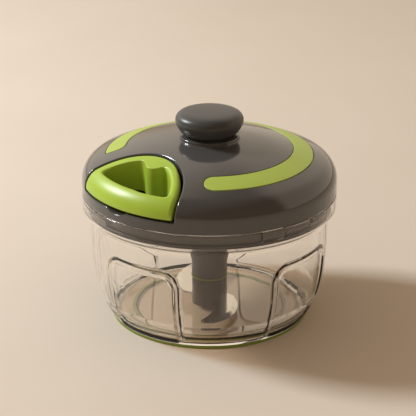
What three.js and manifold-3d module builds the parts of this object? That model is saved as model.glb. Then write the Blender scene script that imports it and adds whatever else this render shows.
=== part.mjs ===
// A hand pulled chopper for garlic, onion and herbs: a clear bowl, a domed lid, a blade unit between
// them, and a cord that spins the blades when the green handle in the lid is pulled.
// Lengths are millimetres, +Z is up, and the origin is the centre of the foot, on the table.
// The pull handle faces -Y. Angles are degrees, anticlockwise from +X as seen from above.
import * as THREE from 'three';
import { mergeVertices } from 'three/addons/utils/BufferGeometryUtils.js';
import Module from 'manifold-3d';

const wasm = await Module();
wasm.setup();

// Clearances that the whole object shares
const pressGap = 0.1;
const fitGap = 0.3;
const runGap = 0.35;
const overrun = 2;
const roundSteps = 40;
const midRoundSteps = 28;
const smallRoundSteps = 16;
const screwSteps = 10;
const bandSteps = 28;

// Anti slip ring under the bowl
const ringProud = 1;
const ringWidth = 12.3;
const ringHeight = 1.5;
const ringChamfer = 0.4;

// Bowl: a wall that fills out from the foot to the collar, which takes the lid
const bowlFloorUnder = 1;
const floorThickness = 2;
const bowlWall = 2.4;
const footRadius = 50;
const wallTopRadius = 60.8;
const bowlFullnessPower = 4;
const floorCornerRadius = 11;
const rimHeight = 66.6;
const collarStep = 4.2;
const collarWall = 2;
const collarInnerDepth = 7.6;
const collarFloor = 0.9;
const collarBeadInset = 1.1;
const collarBeadHeight = 1;
const rimRound = 0.4;
const bowlProfileShares = [0, 0.064, 0.167, 0.311, 0.568, 1];
const floorCornerShares = [0.2, 0.55, 0.9];

// Four recessed grips in the bowl wall
const gripCount = 4;
const gripTurn = 8.2;
const gripTopHeight = 41.2;
const gripBottomHeight = 3.4;
const gripHalfAngle = 19.3;
const gripCornerRadius = 7;
const gripDepth = 1.3;

// Bayonet: ledges inside the collar, each with a stop, and lugs on the lid that turn in under them
const bayonetCount = 3;
const stopStartAngle = 338.2;
const stopEndAngle = 350.2;
const ledgeEndAngle = 366.2;
const ledgeReach = 1.3;
const ledgeHeight = 2.4;
const lugStartAngle = 367.2;
const lugSweepAngle = 14;
const lugReach = 1.2;
const lugHeight = 2.6;

// Steel pin in the bowl floor that the blade unit turns on
const pinRadius = 2.3;
const pinLength = 31;
const pinSink = 1.2;
const pinTipRound = 1;
const pinBossRadius = 4.6;
const pinBossHeight = 2;

// Blade unit
const shaftRadius = 9.2;
const hubLift = 0.2;
const hubHeight = 15.2;
const hubSpigotRadius = 5.6;
const hubSpigotHeight = 5;
const jointRingHeight = 0.9;
const jointRingProud = 0.25;
const shaftTopGap = 1.4;
const socketDepth = 13;
const keyAcrossCorners = 10.4;
const bladeThickness = 1.2;
const bladeHoleRadius = 4.1;
const bladeRootRadius = 7.2;
const lowerBladeReach = 32.5;
const upperBladeReach = 40;
const lowerBladeLift = 2.6;
const upperBladeLift = 4.9;
const upperBladeRise = 1;
const risingSlotHeight = 1.5;
const bladeLeadAngle = 315.2;
const bladeRisePower = 1.2;
// Corners and control points of a blade's outline, as shares of its reach, with the tip towards -Y
const bladeRootShares = [-0.02, -0.12];
const bladeHollowShares = [[0.14, -0.42], [0.1, -0.68], [-0.16, -0.96]];
const bladeTipShares = [[-0.08, -1.01], [0.02, -1]];
const bladeEdgeShares = [[0.27, -0.94], [0.49, -0.6], [0.44, -0.2]];
const bladeHeelShares = [[0.42, 0.02], [0.14, 0.1]];

// Silicone seal on the collar's shelf
const sealInnerGap = 0.5;
const sealOuterGap = 0.6;
const sealHeight = 1.5;

// Lid base: plate and skirt that close the lid from below
const basePlateThickness = 2;
const skirtGap = 1.9;
const skirtWall = 2;
const skirtRimHeight = 1.7;
const skirtHeight = 8.2;
const shaftHoleRadius = 8.3;
const bushWall = 1.7;
const bushFlange = 1.2;
const bushFlangeHeight = 0.8;
const bushHeight = 3.2;

// Lid cover: a shallow crown that turns into an upright wall over a round shoulder
const seamGap = 0.4;
const crownRise = 28;
const crownRadius = 152;
const shoulderRadius = 11;
const coverWall = 2.4;
const plinthRadius = 15.6;
const plinthHeight = 0.9;
const plinthRound = 0.5;
const screwInset = 20;
const screwFirstAngle = 90;
const screwCount = 3;
const bossRadius = 3.7;
const screwRadius = 1.35;
const screwHeadRadius = 3;
const screwHeadHeight = 1.2;
const screwLength = 12.5;

// Green band let into the crown
const bandInset = 12.2;
const bandWidth = 10;
const bandThickness = 1.5;
const bandProud = 0.1;
const bandStartAngle = -42.6;
const bandEndAngle = 226.2;
const bandCornerAngle = 2;
const bandSweepAngle = 9;
const bandCornerLength = 1.6;
const bandInnerCornerLength = 4.6;

// Pull handle and the pocket that it lies in
const handleHalfWidth = 30.8;
const handleFlush = 0.2;
const handleRimWidth = 7.4;
const handleFrameWidth = 5.8;
const handleFloorGap = 1.1;
const cordAboveHandleFoot = 7;
const cordBossRadius = 5.6;
const cordBossSetback = 4.7;
const knotCavityRadius = 3.6;
const knotCavityTop = 3.6;
const pocketGap = 1.3;
const pocketWall = 1.8;
const pocketFloorRise = 5.3;
const pocketFloorThickness = 3.3;
const notchHalfWidth = 6.5;
const notchDepth = 1.8;
const notchLength = 7;
const firstBendXShare = 0.865;
const firstBendYShare = 0.442;
const secondBendXShare = 0.44;

// Cord, its winding, guide and ferrule
const cordRadius = 1.1;
const cordLoops = 4;
const cordStraightShares = [0.3, 0.6, 0.85];
const cordPitch = 2.7;
const windingRadius = 17.3;
const stepsPerLoop = 24;
const guideRadius = 3;
const guideFlange = 1.2;
const guideFlangeLength = 1.4;
const guideClear = 3.5;
const guideFlare = 1.1;
const ferruleRadius = 2.1;
const ferruleLength = 4.4;

// Spool, spring housing and spring
const flangeRim = 6.7;
const flangeThickness = 1.4;
const spoolHubRadius = 4.6;
const spoolHubHeight = 4.9;
const axleRadius = 2.5;
const boltHeadRadius = 4;
const boltHeadHeight = 2.2;
const boltHeadBelowCord = 6.2;
const boltThreadRadius = 2;
const boltThreadInKnob = 7.1;
const housingStep = 1.4;
const housingWall = 1.2;
const housingDepth = 5.3;
const springTurns = 5;
const springStripThickness = 0.5;
const springStripWidth = 3.8;
const springInnerGap = 1;
const springOuterGap = 0.8;
const springStepsPerTurn = 16;

// Drive shaft that carries the turn of the spool down to the blade unit
const driveFlangeRim = 1.1;
const driveFlangeThickness = 1.7;
const driveSpigotRadius = 4.6;
const driveSpigotHeight = 6;
const driveScrewCircle = 8;
const driveScrewRadius = 1;
const driveScrewHeadRadius = 1.9;
const driveScrewHeadHeight = 1;
const driveScrewLength = 5;
const driveScrewCount = 2;

// Knob
const knobRadius = 17.4;
const knobHeight = 12.3;
const knobLift = 0.3;
const knobRadiusShares = [0.745, 0.84, 0.885, 0.98, 1, 0.968, 0.85, 0.57];
const knobHeightShares = [0, 0.11, 0.23, 0.44, 0.59, 0.78, 0.925, 0.98];

// Radii and heights that follow from the sizes above
const ringOuterRadius = footRadius + ringProud;
const ringInnerRadius = ringOuterRadius - ringWidth;
const collarRadius = wallTopRadius + collarStep;
const collarInnerRadius = collarRadius - collarWall;
const sealInnerRadius = wallTopRadius - bowlWall + sealInnerGap;
const sealOuterRadius = collarInnerRadius - sealOuterGap;
const skirtRadius = collarInnerRadius - skirtGap;
const screwCircleRadius = collarRadius - screwInset;
const bandOuterRadius = collarRadius - bandInset;
const bandInnerRadius = bandOuterRadius - bandWidth;
const flangeRadius = windingRadius + flangeRim;
const housingRadius = flangeRadius - housingStep;
const springInnerRadius = spoolHubRadius + springInnerGap;
const springOuterRadius = housingRadius - housingWall - springOuterGap;
const driveFlangeRadius = driveScrewCircle + driveScrewHeadRadius + driveFlangeRim;
const guideNear = flangeRadius + guideClear;
const pocketApexRadius = guideNear + guideFlangeLength + fitGap + pocketWall;
const handleApexRadius = pocketApexRadius + pocketGap;
const wallBottom = ringHeight + pressGap;
const floorTop = bowlFloorUnder + floorThickness;
const shelfHeight = rimHeight - collarInnerDepth;
const collarBottom = shelfHeight - collarFloor;
const sealBottom = shelfHeight + pressGap;
const baseBottom = sealBottom + sealHeight + pressGap;
const baseTop = baseBottom + basePlateThickness;
const seamHeight = rimHeight + seamGap;
const crownHeight = seamHeight + crownRise;
const plinthTop = crownHeight + plinthHeight;
const pocketFloor = seamHeight + pocketFloorRise;
const handleFoot = pocketFloor + handleFloorGap;
const cordHeight = handleFoot + cordAboveHandleFoot;
const drumTop = cordHeight + cordRadius + runGap;
const drumBottom = cordHeight - cordLoops * cordPitch - cordRadius - runGap;
const spoolBottom = drumBottom - flangeThickness;
const spoolTop = drumTop + flangeThickness;
const housingBottom = spoolTop + runGap;
const housingTop = housingBottom + housingDepth + housingWall;
const boltHeadTop = cordHeight - boltHeadBelowCord + boltHeadHeight;
const driveFlangeTop = spoolBottom - pressGap;
const driveFlangeBottom = driveFlangeTop - driveFlangeThickness;
const hubBottom = floorTop + hubLift;
const hubTop = hubBottom + hubHeight;
const shaftBottom = hubTop + jointRingHeight + pressGap * 2;
const shaftTop = baseBottom - shaftTopGap;
const keyRadius = keyAcrossCorners / 2;
const ledgeTop = rimHeight - rimRound;
const ledgeBottom = ledgeTop - ledgeHeight;

const group = new THREE.Group();

function radians(angle) {
  return THREE.MathUtils.degToRad(angle);
}

function polar(radius, angle) {
  return new THREE.Vector2(radius * Math.cos(radians(angle)), radius * Math.sin(radians(angle)));
}

// Keeps only positions, joins equal corners and drops triangles that have shrunk to a line.
function closed(geometry) {
  const bare = geometry.clone();
  bare.deleteAttribute('normal');
  bare.deleteAttribute('uv');
  const merged = mergeVertices(bare);
  const corners = merged.index.array;
  const kept = [];
  for (let i = 0; i < corners.length; i += 3) {
    const [a, b, c] = [corners[i], corners[i + 1], corners[i + 2]];
    if (a !== b && b !== c && c !== a) {
      kept.push(a, b, c);
    }
  }
  merged.setIndex(kept);
  return merged;
}

function solid(geometry) {
  const mesh = closed(geometry);
  return new wasm.Manifold(new wasm.Mesh({
    numProp: 3,
    vertProperties: Float32Array.from(mesh.attributes.position.array),
    triVerts: Uint32Array.from(mesh.index.array),
  }));
}

function geometryOf(manifold) {
  const mesh = manifold.getMesh();
  const geometry = new THREE.BufferGeometry();
  geometry.setAttribute('position', new THREE.Float32BufferAttribute(mesh.vertProperties, 3));
  geometry.setIndex(Array.from(mesh.triVerts));
  return geometry;
}

// Turns a closed profile of [radius, height] corners round the Z axis.
function turned(corners, steps = roundSteps) {
  let points = corners.map(([radius, height]) => new THREE.Vector2(radius, height));
  if (THREE.ShapeUtils.area(points) < 0) {
    points = points.reverse();
  }
  const onAxis = points.findIndex((point, i) => {
    const next = points[(i + 1) % points.length];
    return point.x === 0 && next.x === 0;
  });
  if (onAxis >= 0) {
    points = [...points.slice(onAxis + 1), ...points.slice(0, onAxis + 1)];
  } else {
    points.push(points[0].clone());
  }
  return closed(new THREE.LatheGeometry(points, steps).rotateX(Math.PI / 2));
}

function cylinder(radius, bottom, top, steps = smallRoundSteps) {
  return turned([[0, bottom], [radius, bottom], [radius, top], [0, top]], steps);
}

function prism(shape, bottom, top, curveSegments = smallRoundSteps) {
  const options = { depth: top - bottom, bevelEnabled: false, curveSegments };
  return closed(new THREE.ExtrudeGeometry(shape, options).translate(0, 0, bottom));
}

// A block that is curved round the Z axis.
function sector(innerRadius, outerRadius, startAngle, endAngle, bottom, top) {
  const shape = new THREE.Shape();
  shape.absarc(0, 0, outerRadius, radians(startAngle), radians(endAngle), false);
  shape.absarc(0, 0, innerRadius, radians(endAngle), radians(startAngle), true);
  shape.closePath();
  return prism(shape, bottom, top, Math.ceil(Math.abs(endAngle - startAngle) / (360 / roundSteps)));
}

// A round bar along Y, from one distance out to the other on the handle's side.
function barTowardsHandle(radius, nearDistance, farDistance, height, steps = smallRoundSteps) {
  return cylinder(radius, nearDistance, farDistance, steps).rotateX(Math.PI / 2).translate(0, 0, height);
}

function add(name, geometry, color, roughness, metalness = 0, position = [0, 0, 0]) {
  const material = new THREE.MeshStandardMaterial({ color, roughness, metalness });
  const mesh = new THREE.Mesh(geometry, material);
  mesh.name = name;
  mesh.position.set(...position);
  group.add(mesh);
  return mesh;
}

const lidGrey = 0x4b4642;
const accentGreen = 0xa3bb3d;
const deepGreen = 0x6a8424;
const shaftGrey = 0x4d443b;
const steelColour = 0xc9cbcc;
const cordColour = 0xe6e3da;
const sealColour = 0x2c2a28;

// Anti slip ring
add('base_ring', turned([
  [ringInnerRadius, 0],
  [ringOuterRadius - ringChamfer, 0],
  [ringOuterRadius, ringChamfer],
  [ringOuterRadius, ringHeight],
  [ringInnerRadius, ringHeight],
]), deepGreen, 0.6);

// Radius of the bowl wall's outside at a height
function bowlRadius(height) {
  const share = THREE.MathUtils.clamp(height / collarBottom, 0, 1);
  return wallTopRadius - (wallTopRadius - footRadius) * (1 - share) ** bowlFullnessPower;
}

function bowlOutside(inset) {
  const heights = bowlProfileShares.map((share) => THREE.MathUtils.lerp(wallBottom, collarBottom, share));
  return heights.map((height) => [bowlRadius(height) - inset, height]);
}

// Between two insets from the bowl's outside, where a grip's outline stands in front of it
function gripLayer(nearInset, farInset, angle, grow) {
  const near = bowlOutside(nearInset);
  const far = bowlOutside(farInset).reverse();
  const top = gripTopHeight + grow;
  const bottom = gripBottomHeight - grow;
  const corner = gripCornerRadius + grow;
  const topHalf = bowlRadius(gripTopHeight) * Math.sin(radians(gripHalfAngle)) + grow;
  const bottomHalf = bowlRadius(gripBottomHeight) * Math.sin(radians(gripHalfAngle)) + grow;
  const outline = new THREE.Shape();
  outline.moveTo(-bottomHalf, bottom);
  outline.lineTo(bottomHalf, bottom);
  outline.lineTo(topHalf, top - corner);
  outline.quadraticCurveTo(topHalf, top, topHalf - corner, top);
  outline.lineTo(corner - topHalf, top);
  outline.quadraticCurveTo(-topHalf, top, -topHalf, top - corner);
  outline.closePath();
  const window = prism(outline, 0, collarRadius + overrun, 3).rotateX(Math.PI / 2).rotateZ(radians(angle + 90));
  return solid(turned([...near, ...far])).intersect(solid(window));
}

function makeBowl() {
  const beadTop = collarBottom + collarBeadHeight;
  const cornerCentreRadius = bowlRadius(floorTop + floorCornerRadius) - bowlWall - floorCornerRadius;
  const inside = bowlOutside(bowlWall).filter(([, height]) => height > floorTop + floorCornerRadius);
  const floorCorner = floorCornerShares.map((share) => [
    cornerCentreRadius + floorCornerRadius * Math.cos(share * Math.PI / 2),
    floorTop + floorCornerRadius * (1 - Math.sin(share * Math.PI / 2)),
  ]);
  let bowl = solid(turned([
    [0, bowlFloorUnder],
    [ringInnerRadius - fitGap, bowlFloorUnder],
    [ringInnerRadius - fitGap, wallBottom],
    ...bowlOutside(0),
    [collarRadius - collarBeadInset, collarBottom],
    [collarRadius - collarBeadInset, beadTop],
    [collarRadius, beadTop + rimRound],
    [collarRadius, rimHeight - rimRound],
    [collarRadius - rimRound, rimHeight],
    [collarInnerRadius, rimHeight],
    [collarInnerRadius, shelfHeight],
    [wallTopRadius - bowlWall, shelfHeight],
    ...inside.reverse(),
    ...floorCorner,
    [cornerCentreRadius, floorTop],
    [pinBossRadius, floorTop],
    [pinBossRadius, floorTop + pinBossHeight],
    [pinRadius + pressGap, floorTop + pinBossHeight],
    [pinRadius + pressGap, floorTop - pinSink],
    [0, floorTop - pinSink],
  ]));
  for (let i = 0; i < gripCount; i += 1) {
    const angle = gripTurn + i * 360 / gripCount;
    bowl = bowl.add(gripLayer(bowlWall / 2, bowlWall + gripDepth, angle, bowlWall));
    bowl = bowl.subtract(gripLayer(-overrun, gripDepth, angle, 0));
  }
  for (let i = 0; i < bayonetCount; i += 1) {
    const turn = i * 360 / bayonetCount;
    const inner = collarInnerRadius - ledgeReach;
    const outer = collarInnerRadius + collarWall / 2;
    const ledge = sector(inner, outer, stopStartAngle + turn, ledgeEndAngle + turn, ledgeBottom, ledgeTop);
    const stopFoot = sealBottom + sealHeight + fitGap;
    const stop = sector(inner, outer, stopStartAngle + turn, stopEndAngle + turn, stopFoot, ledgeTop);
    bowl = bowl.add(solid(ledge).add(solid(stop)));
  }
  return geometryOf(bowl);
}

const bowlMesh = add('bowl', makeBowl(), 0xe9eef0, 0.04);
bowlMesh.material.transparent = true;
bowlMesh.material.opacity = 0.25;

const pinBottom = floorTop - pinSink + pressGap;
const pinTop = pinBottom + pinLength;
add('pivot_pin', turned([
  [0, pinBottom],
  [pinRadius, pinBottom],
  [pinRadius, pinTop - pinTipRound],
  [pinRadius - pinTipRound, pinTop],
  [0, pinTop],
], smallRoundSteps), steelColour, 0.25, 1);

// One crescent blade round the Z axis, with a ring at its root. It is drawn with its tip towards -Y,
// and the outer half can rise towards the tip.
function makeBlade(bladeReach, bottom, top, rise, angle, grow) {
  const reach = bladeReach + grow;
  const at = (shares) => shares.flat().map((share) => share * reach);
  const shape = new THREE.Shape();
  shape.moveTo(...at(bladeRootShares));
  shape.bezierCurveTo(...at(bladeHollowShares));
  shape.quadraticCurveTo(...at(bladeTipShares));
  shape.bezierCurveTo(...at(bladeEdgeShares));
  shape.quadraticCurveTo(...at(bladeHeelShares));
  shape.closePath();
  const wing = solid(prism(shape, bottom - grow, top + grow, 6));
  const ring = solid(cylinder(bladeRootRadius + grow, bottom - grow, top + grow, smallRoundSteps));
  const hole = solid(cylinder(bladeHoleRadius - grow, bottom - overrun, top + overrun, smallRoundSteps));
  const blade = geometryOf(wing.add(ring).subtract(hole));
  const place = blade.attributes.position;
  for (let i = 0; i < place.count; i += 1) {
    const out = Math.max(0, Math.hypot(place.getX(i), place.getY(i)) - shaftRadius) / (reach - shaftRadius);
    place.setZ(i, place.getZ(i) + rise * out ** bladeRisePower);
  }
  return blade.rotateZ(radians(angle - 270));
}

const lowerBladeBottom = hubBottom + lowerBladeLift;
const upperBladeBottom = hubBottom + upperBladeLift;
const lowerBladeAngle = bladeLeadAngle;
const upperBladeAngle = bladeLeadAngle + 180;
const lowerBladeTop = lowerBladeBottom + bladeThickness;
const upperBladeTop = upperBladeBottom + bladeThickness;
const lowerBlade = makeBlade(lowerBladeReach, lowerBladeBottom, lowerBladeTop, 0, lowerBladeAngle, 0);
const upperBlade = makeBlade(
  upperBladeReach,
  upperBladeBottom,
  upperBladeTop,
  upperBladeRise,
  upperBladeAngle,
  0,
);
add('blade_lower', lowerBlade, steelColour, 0.08, 1);
add('blade_upper', upperBlade, steelColour, 0.08, 1);

function makeHub() {
  const boreRadius = pinRadius + runGap;
  const bossClear = pinBossRadius + runGap;
  const bossTop = floorTop + pinBossHeight + fitGap;
  const slotTop = upperBladeBottom + risingSlotHeight;
  const lowerSlot = makeBlade(lowerBladeReach, lowerBladeBottom, lowerBladeTop, 0, lowerBladeAngle, fitGap);
  const upperSlot = makeBlade(upperBladeReach, upperBladeBottom, slotTop, 0, upperBladeAngle, fitGap);
  return geometryOf(solid(turned([
    [bossClear, hubBottom],
    [shaftRadius, hubBottom],
    [shaftRadius, hubTop],
    [hubSpigotRadius, hubTop],
    [hubSpigotRadius, hubTop + hubSpigotHeight],
    [boreRadius, hubTop + hubSpigotHeight],
    [boreRadius, bossTop],
    [bossClear, bossTop],
  ], midRoundSteps))
    .subtract(solid(lowerSlot))
    .subtract(solid(upperSlot)));
}

add('blade_hub', makeHub(), shaftGrey, 0.25);
add('joint_ring', turned([
  [hubSpigotRadius + fitGap, hubTop + pressGap],
  [shaftRadius + jointRingProud, hubTop + pressGap],
  [shaftRadius + jointRingProud, hubTop + pressGap + jointRingHeight],
  [hubSpigotRadius + fitGap, hubTop + pressGap + jointRingHeight],
], midRoundSteps), deepGreen, 0.5);

function makeBladeShaft() {
  const boreRadius = pinRadius + runGap;
  const socketBottom = shaftTop - socketDepth;
  const spigotTop = hubTop + hubSpigotHeight + fitGap;
  const pinClear = pinTop + runGap;
  const body = solid(turned([
    [hubSpigotRadius + fitGap, shaftBottom],
    [shaftRadius, shaftBottom],
    [shaftRadius, shaftTop],
    [0, shaftTop],
    [0, pinClear],
    [boreRadius, pinClear],
    [boreRadius, spigotTop],
    [hubSpigotRadius + fitGap, spigotTop],
  ], midRoundSteps));
  const socket = solid(cylinder(keyRadius + fitGap, socketBottom, shaftTop + overrun, 6));
  return geometryOf(body.subtract(socket));
}

add('blade_shaft', makeBladeShaft(), shaftGrey, 0.45);

// Seal
add('seal_ring', turned([
  [sealInnerRadius, sealBottom],
  [sealOuterRadius, sealBottom],
  [sealOuterRadius, sealBottom + sealHeight],
  [sealInnerRadius, sealBottom + sealHeight],
]), sealColour, 0.6);

// The lid's outside as a solid of revolution, drawn in by an inset
const crownCentre = crownHeight - crownRadius;
const shoulderCentreRadius = collarRadius - shoulderRadius;
const shoulderCentre = crownCentre + Math.sqrt((crownRadius - shoulderRadius) ** 2 - shoulderCentreRadius ** 2);
const shoulderJoinAngle = Math.atan2(shoulderCentreRadius, shoulderCentre - crownCentre);

function lidOutside(inset, innerRadius, crownSteps, shoulderSteps) {
  const corners = [];
  const crown = crownRadius - inset;
  const startAngle = Math.asin(innerRadius / crown);
  for (let i = 0; i < crownSteps; i += 1) {
    const angle = THREE.MathUtils.lerp(startAngle, shoulderJoinAngle, i / crownSteps);
    corners.push([i === 0 ? innerRadius : crown * Math.sin(angle), crownCentre + crown * Math.cos(angle)]);
  }
  for (let i = 0; i <= shoulderSteps; i += 1) {
    const angle = THREE.MathUtils.lerp(shoulderJoinAngle, Math.PI / 2, i / shoulderSteps);
    const radius = shoulderRadius - inset;
    corners.push([shoulderCentreRadius + radius * Math.sin(angle), shoulderCentre + radius * Math.cos(angle)]);
  }
  return corners;
}

function lidSolid(inset, bottom) {
  const outline = lidOutside(inset, 0, 5, 4);
  return solid(turned([...outline, [collarRadius - inset, bottom], [0, bottom]]));
}

// Plan outline of the handle, grown or drawn in, with its outer side left beyond the lid
function handleOutline(grow) {
  const half = handleHalfWidth + grow;
  const apex = grow - handleApexRadius;
  const side = -Math.sqrt(collarRadius ** 2 - half ** 2);
  const bend = apex + (side - apex) * firstBendYShare;
  const flare = (collarRadius + overrun) / collarRadius;
  const shape = new THREE.Shape();
  shape.moveTo(-half * flare, -collarRadius - overrun);
  shape.lineTo(-half * flare, side * flare);
  shape.lineTo(-half, side);
  shape.bezierCurveTo(-half * firstBendXShare, bend, -half * secondBendXShare, apex, 0, apex);
  shape.bezierCurveTo(half * secondBendXShare, apex, half * firstBendXShare, bend, half, side);
  shape.lineTo(half * flare, side * flare);
  shape.lineTo(half * flare, -collarRadius - overrun);
  shape.closePath();
  return shape;
}

function handlePrism(grow, bottom, top) {
  return solid(prism(handleOutline(grow), bottom, top, 10));
}

function bandShape(grow) {
  const inner = bandInnerRadius - grow;
  const outer = bandOuterRadius + grow;
  const middle = (inner + outer) / 2;
  const endRadius = (outer - inner) / 2;
  const start = bandStartAngle;
  const end = bandEndAngle + THREE.MathUtils.radToDeg(grow / middle);
  const startCentre = polar(middle, start);
  const shape = new THREE.Shape();
  const corner = polar(outer, end);
  const cornerEnd = polar(outer - bandCornerLength, end);
  const innerStart = polar(inner + bandInnerCornerLength, end);
  const innerCorner = polar(inner, end);
  const innerEnd = polar(inner, end - bandSweepAngle);
  shape.absarc(0, 0, outer, radians(start), radians(end - bandCornerAngle), false);
  shape.quadraticCurveTo(corner.x, corner.y, cornerEnd.x, cornerEnd.y);
  shape.lineTo(innerStart.x, innerStart.y);
  shape.quadraticCurveTo(innerCorner.x, innerCorner.y, innerEnd.x, innerEnd.y);
  shape.absarc(0, 0, inner, radians(end - bandSweepAngle), radians(start), true);
  shape.absarc(startCentre.x, startCentre.y, endRadius, radians(start + 180), radians(start + 360), false);
  return shape;
}

// The layer of the crown between two insets, inside the band's outline
function bandLayer(topInset, bottomInset, grow) {
  const near = bandInnerRadius - overrun * 2;
  const far = bandOuterRadius + overrun * 2;
  const corners = [];
  const steps = 2;
  for (let i = 0; i <= steps; i += 1) {
    const radius = THREE.MathUtils.lerp(near, far, i / steps);
    corners.push([radius, crownCentre + Math.sqrt((crownRadius - topInset) ** 2 - radius ** 2)]);
  }
  for (let i = steps; i >= 0; i -= 2) {
    const radius = THREE.MathUtils.lerp(near, far, i / steps);
    corners.push([radius, crownCentre + Math.sqrt((crownRadius - bottomInset) ** 2 - radius ** 2)]);
  }
  const outline = solid(prism(bandShape(grow), seamHeight, crownHeight + overrun, bandSteps));
  return solid(turned(corners)).intersect(outline);
}

add('accent_band', geometryOf(bandLayer(-bandProud, bandThickness, 0)), accentGreen, 0.5);

function makeCover() {
  const boltHole = boltThreadRadius + fitGap;
  const outside = lidOutside(0, plinthRadius, 5, 4);
  const plinth = [
    [boltHole, plinthTop],
    [plinthRadius - plinthRound, plinthTop],
    [plinthRadius, plinthTop - plinthRound],
  ];
  const inside = lidOutside(coverWall, boltHole, 3, 2).reverse();
  const wallFoot = [[collarRadius, seamHeight], [collarRadius - coverWall, seamHeight]];
  let cover = solid(turned([...plinth, ...outside, ...wallFoot, ...inside]));
  const underSkin = lidSolid(coverWall / 2, baseTop);
  for (let i = 0; i < screwCount; i += 1) {
    const place = polar(screwCircleRadius, screwFirstAngle + i * 360 / screwCount);
    const post = cylinder(bossRadius, baseTop + fitGap, crownHeight, smallRoundSteps);
    const holeTop = baseBottom + screwLength + fitGap;
    const hole = cylinder(screwRadius + fitGap, baseTop, holeTop, screwSteps);
    post.translate(place.x, place.y, 0);
    hole.translate(place.x, place.y, 0);
    cover = cover.add(solid(post).intersect(underSkin)).subtract(solid(hole));
  }
  const pocketBottom = pocketFloor - pocketFloorThickness;
  const shell = handlePrism(pocketGap + pocketWall, pocketBottom, crownHeight);
  cover = cover.add(shell.intersect(lidSolid(0, seamHeight)));
  cover = cover.subtract(handlePrism(pocketGap, pocketFloor, crownHeight + overrun));
  const notchRadius = (notchHalfWidth ** 2 + notchDepth ** 2) / (2 * notchDepth);
  const notchAxis = pocketFloor - notchDepth + notchRadius;
  const notchStart = collarRadius - notchLength;
  const notch = barTowardsHandle(notchRadius, notchStart, collarRadius + overrun, notchAxis, roundSteps);
  cover = cover.subtract(solid(notch));
  const guideHole = barTowardsHandle(guideRadius + fitGap, flangeRadius, handleApexRadius, cordHeight);
  cover = cover.subtract(solid(guideHole));
  cover = cover.subtract(bandLayer(-overrun, bandThickness + fitGap, fitGap));
  return geometryOf(cover);
}

add('top_cover', makeCover(), lidGrey, 0.12);

function makeLidBase() {
  let base = solid(turned([
    [shaftHoleRadius, baseBottom],
    [skirtRadius, baseBottom],
    [skirtRadius, rimHeight + fitGap],
    [collarRadius - coverWall - fitGap, seamHeight + fitGap],
    [collarRadius - coverWall - fitGap, seamHeight + skirtRimHeight],
    [skirtRadius - skirtWall, baseBottom + skirtHeight],
    [skirtRadius - skirtWall, baseTop],
    [shaftHoleRadius, baseTop],
  ]));
  for (let i = 0; i < bayonetCount; i += 1) {
    const start = lugStartAngle + i * 360 / bayonetCount;
    const inner = skirtRadius - skirtWall / 2;
    const outer = skirtRadius + lugReach;
    base = base.add(solid(sector(inner, outer, start, start + lugSweepAngle, baseBottom, baseBottom + lugHeight)));
  }
  for (let i = 0; i < screwCount; i += 1) {
    const place = polar(screwCircleRadius, screwFirstAngle + i * 360 / screwCount);
    const hole = cylinder(screwRadius + fitGap, baseBottom - overrun, baseTop + overrun, screwSteps);
    base = base.subtract(solid(hole.translate(place.x, place.y, 0)));
  }
  return geometryOf(base);
}

add('lid_base', makeLidBase(), lidGrey, 0.35);

for (let i = 0; i < screwCount; i += 1) {
  const place = polar(screwCircleRadius, screwFirstAngle + i * 360 / screwCount);
  const headTop = baseBottom - pressGap;
  const screw = turned([
    [0, headTop - screwHeadHeight],
    [screwHeadRadius, headTop - screwHeadHeight],
    [screwHeadRadius, headTop],
    [screwRadius, headTop],
    [screwRadius, baseBottom + screwLength],
    [0, baseBottom + screwLength],
  ], screwSteps);
  add(`cover_screw_${i + 1}`, screw, steelColour, 0.35, 1, [place.x, place.y, 0]);
}

const journalRadius = shaftHoleRadius - fitGap - bushWall - fitGap;
const bushBottom = baseBottom - pressGap - bushFlangeHeight;
add('drive_bush', turned([
  [shaftHoleRadius - fitGap - bushWall, bushBottom],
  [shaftHoleRadius + bushFlange, bushBottom],
  [shaftHoleRadius + bushFlange, bushBottom + bushFlangeHeight],
  [shaftHoleRadius - fitGap, bushBottom + bushFlangeHeight],
  [shaftHoleRadius - fitGap, bushBottom + bushHeight],
  [shaftHoleRadius - fitGap - bushWall, bushBottom + bushHeight],
], midRoundSteps), 0xe8e4d8, 0.5);

// Pull handle: a ring for two fingers that follows the lid's crown and shoulder
const bossDistance = handleApexRadius + cordBossSetback;

function makeHandle() {
  const outside = lidSolid(handleFlush, handleFoot);
  const hole = handlePrism(-handleFrameWidth, handleFoot - overrun, crownHeight)
    .intersect(solid(cylinder(collarRadius - handleRimWidth, handleFoot - overrun, crownHeight, roundSteps)));
  const boss = cylinder(cordBossRadius, handleFoot - overrun, crownHeight).translate(0, -bossDistance, 0);
  const cavityTop = cordHeight + knotCavityTop;
  const cavity = cylinder(knotCavityRadius, handleFoot - overrun, cavityTop).translate(0, -bossDistance, 0);
  const cordHole = barTowardsHandle(cordRadius + fitGap, pocketApexRadius, bossDistance, cordHeight, screwSteps);
  return geometryOf(handlePrism(0, handleFoot, crownHeight)
    .subtract(hole.subtract(solid(boss)))
    .intersect(outside)
    .subtract(solid(cavity))
    .subtract(solid(cordHole)));
}

add('pull_handle', makeHandle(), accentGreen, 0.4);

const ferruleNear = bossDistance - ferruleLength / 2;
const ferruleFar = ferruleNear + ferruleLength;
const ferruleBoreEnd = ferruleFar - cordRadius;
const ferrule = solid(barTowardsHandle(ferruleRadius, ferruleNear, ferruleFar, cordHeight, screwSteps))
  .subtract(solid(barTowardsHandle(cordRadius + pressGap, ferruleNear - overrun, ferruleBoreEnd, cordHeight, screwSteps)));
add('cord_ferrule', geometryOf(ferrule), steelColour, 0.35, 1);

// Cord: it winds on the spool, leaves it on a tangent, and runs through the guide to the handle.
class Route extends THREE.CatmullRomCurve3 {
  constructor(points) {
    super(points, false, 'centripetal');
  }
}

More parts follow.
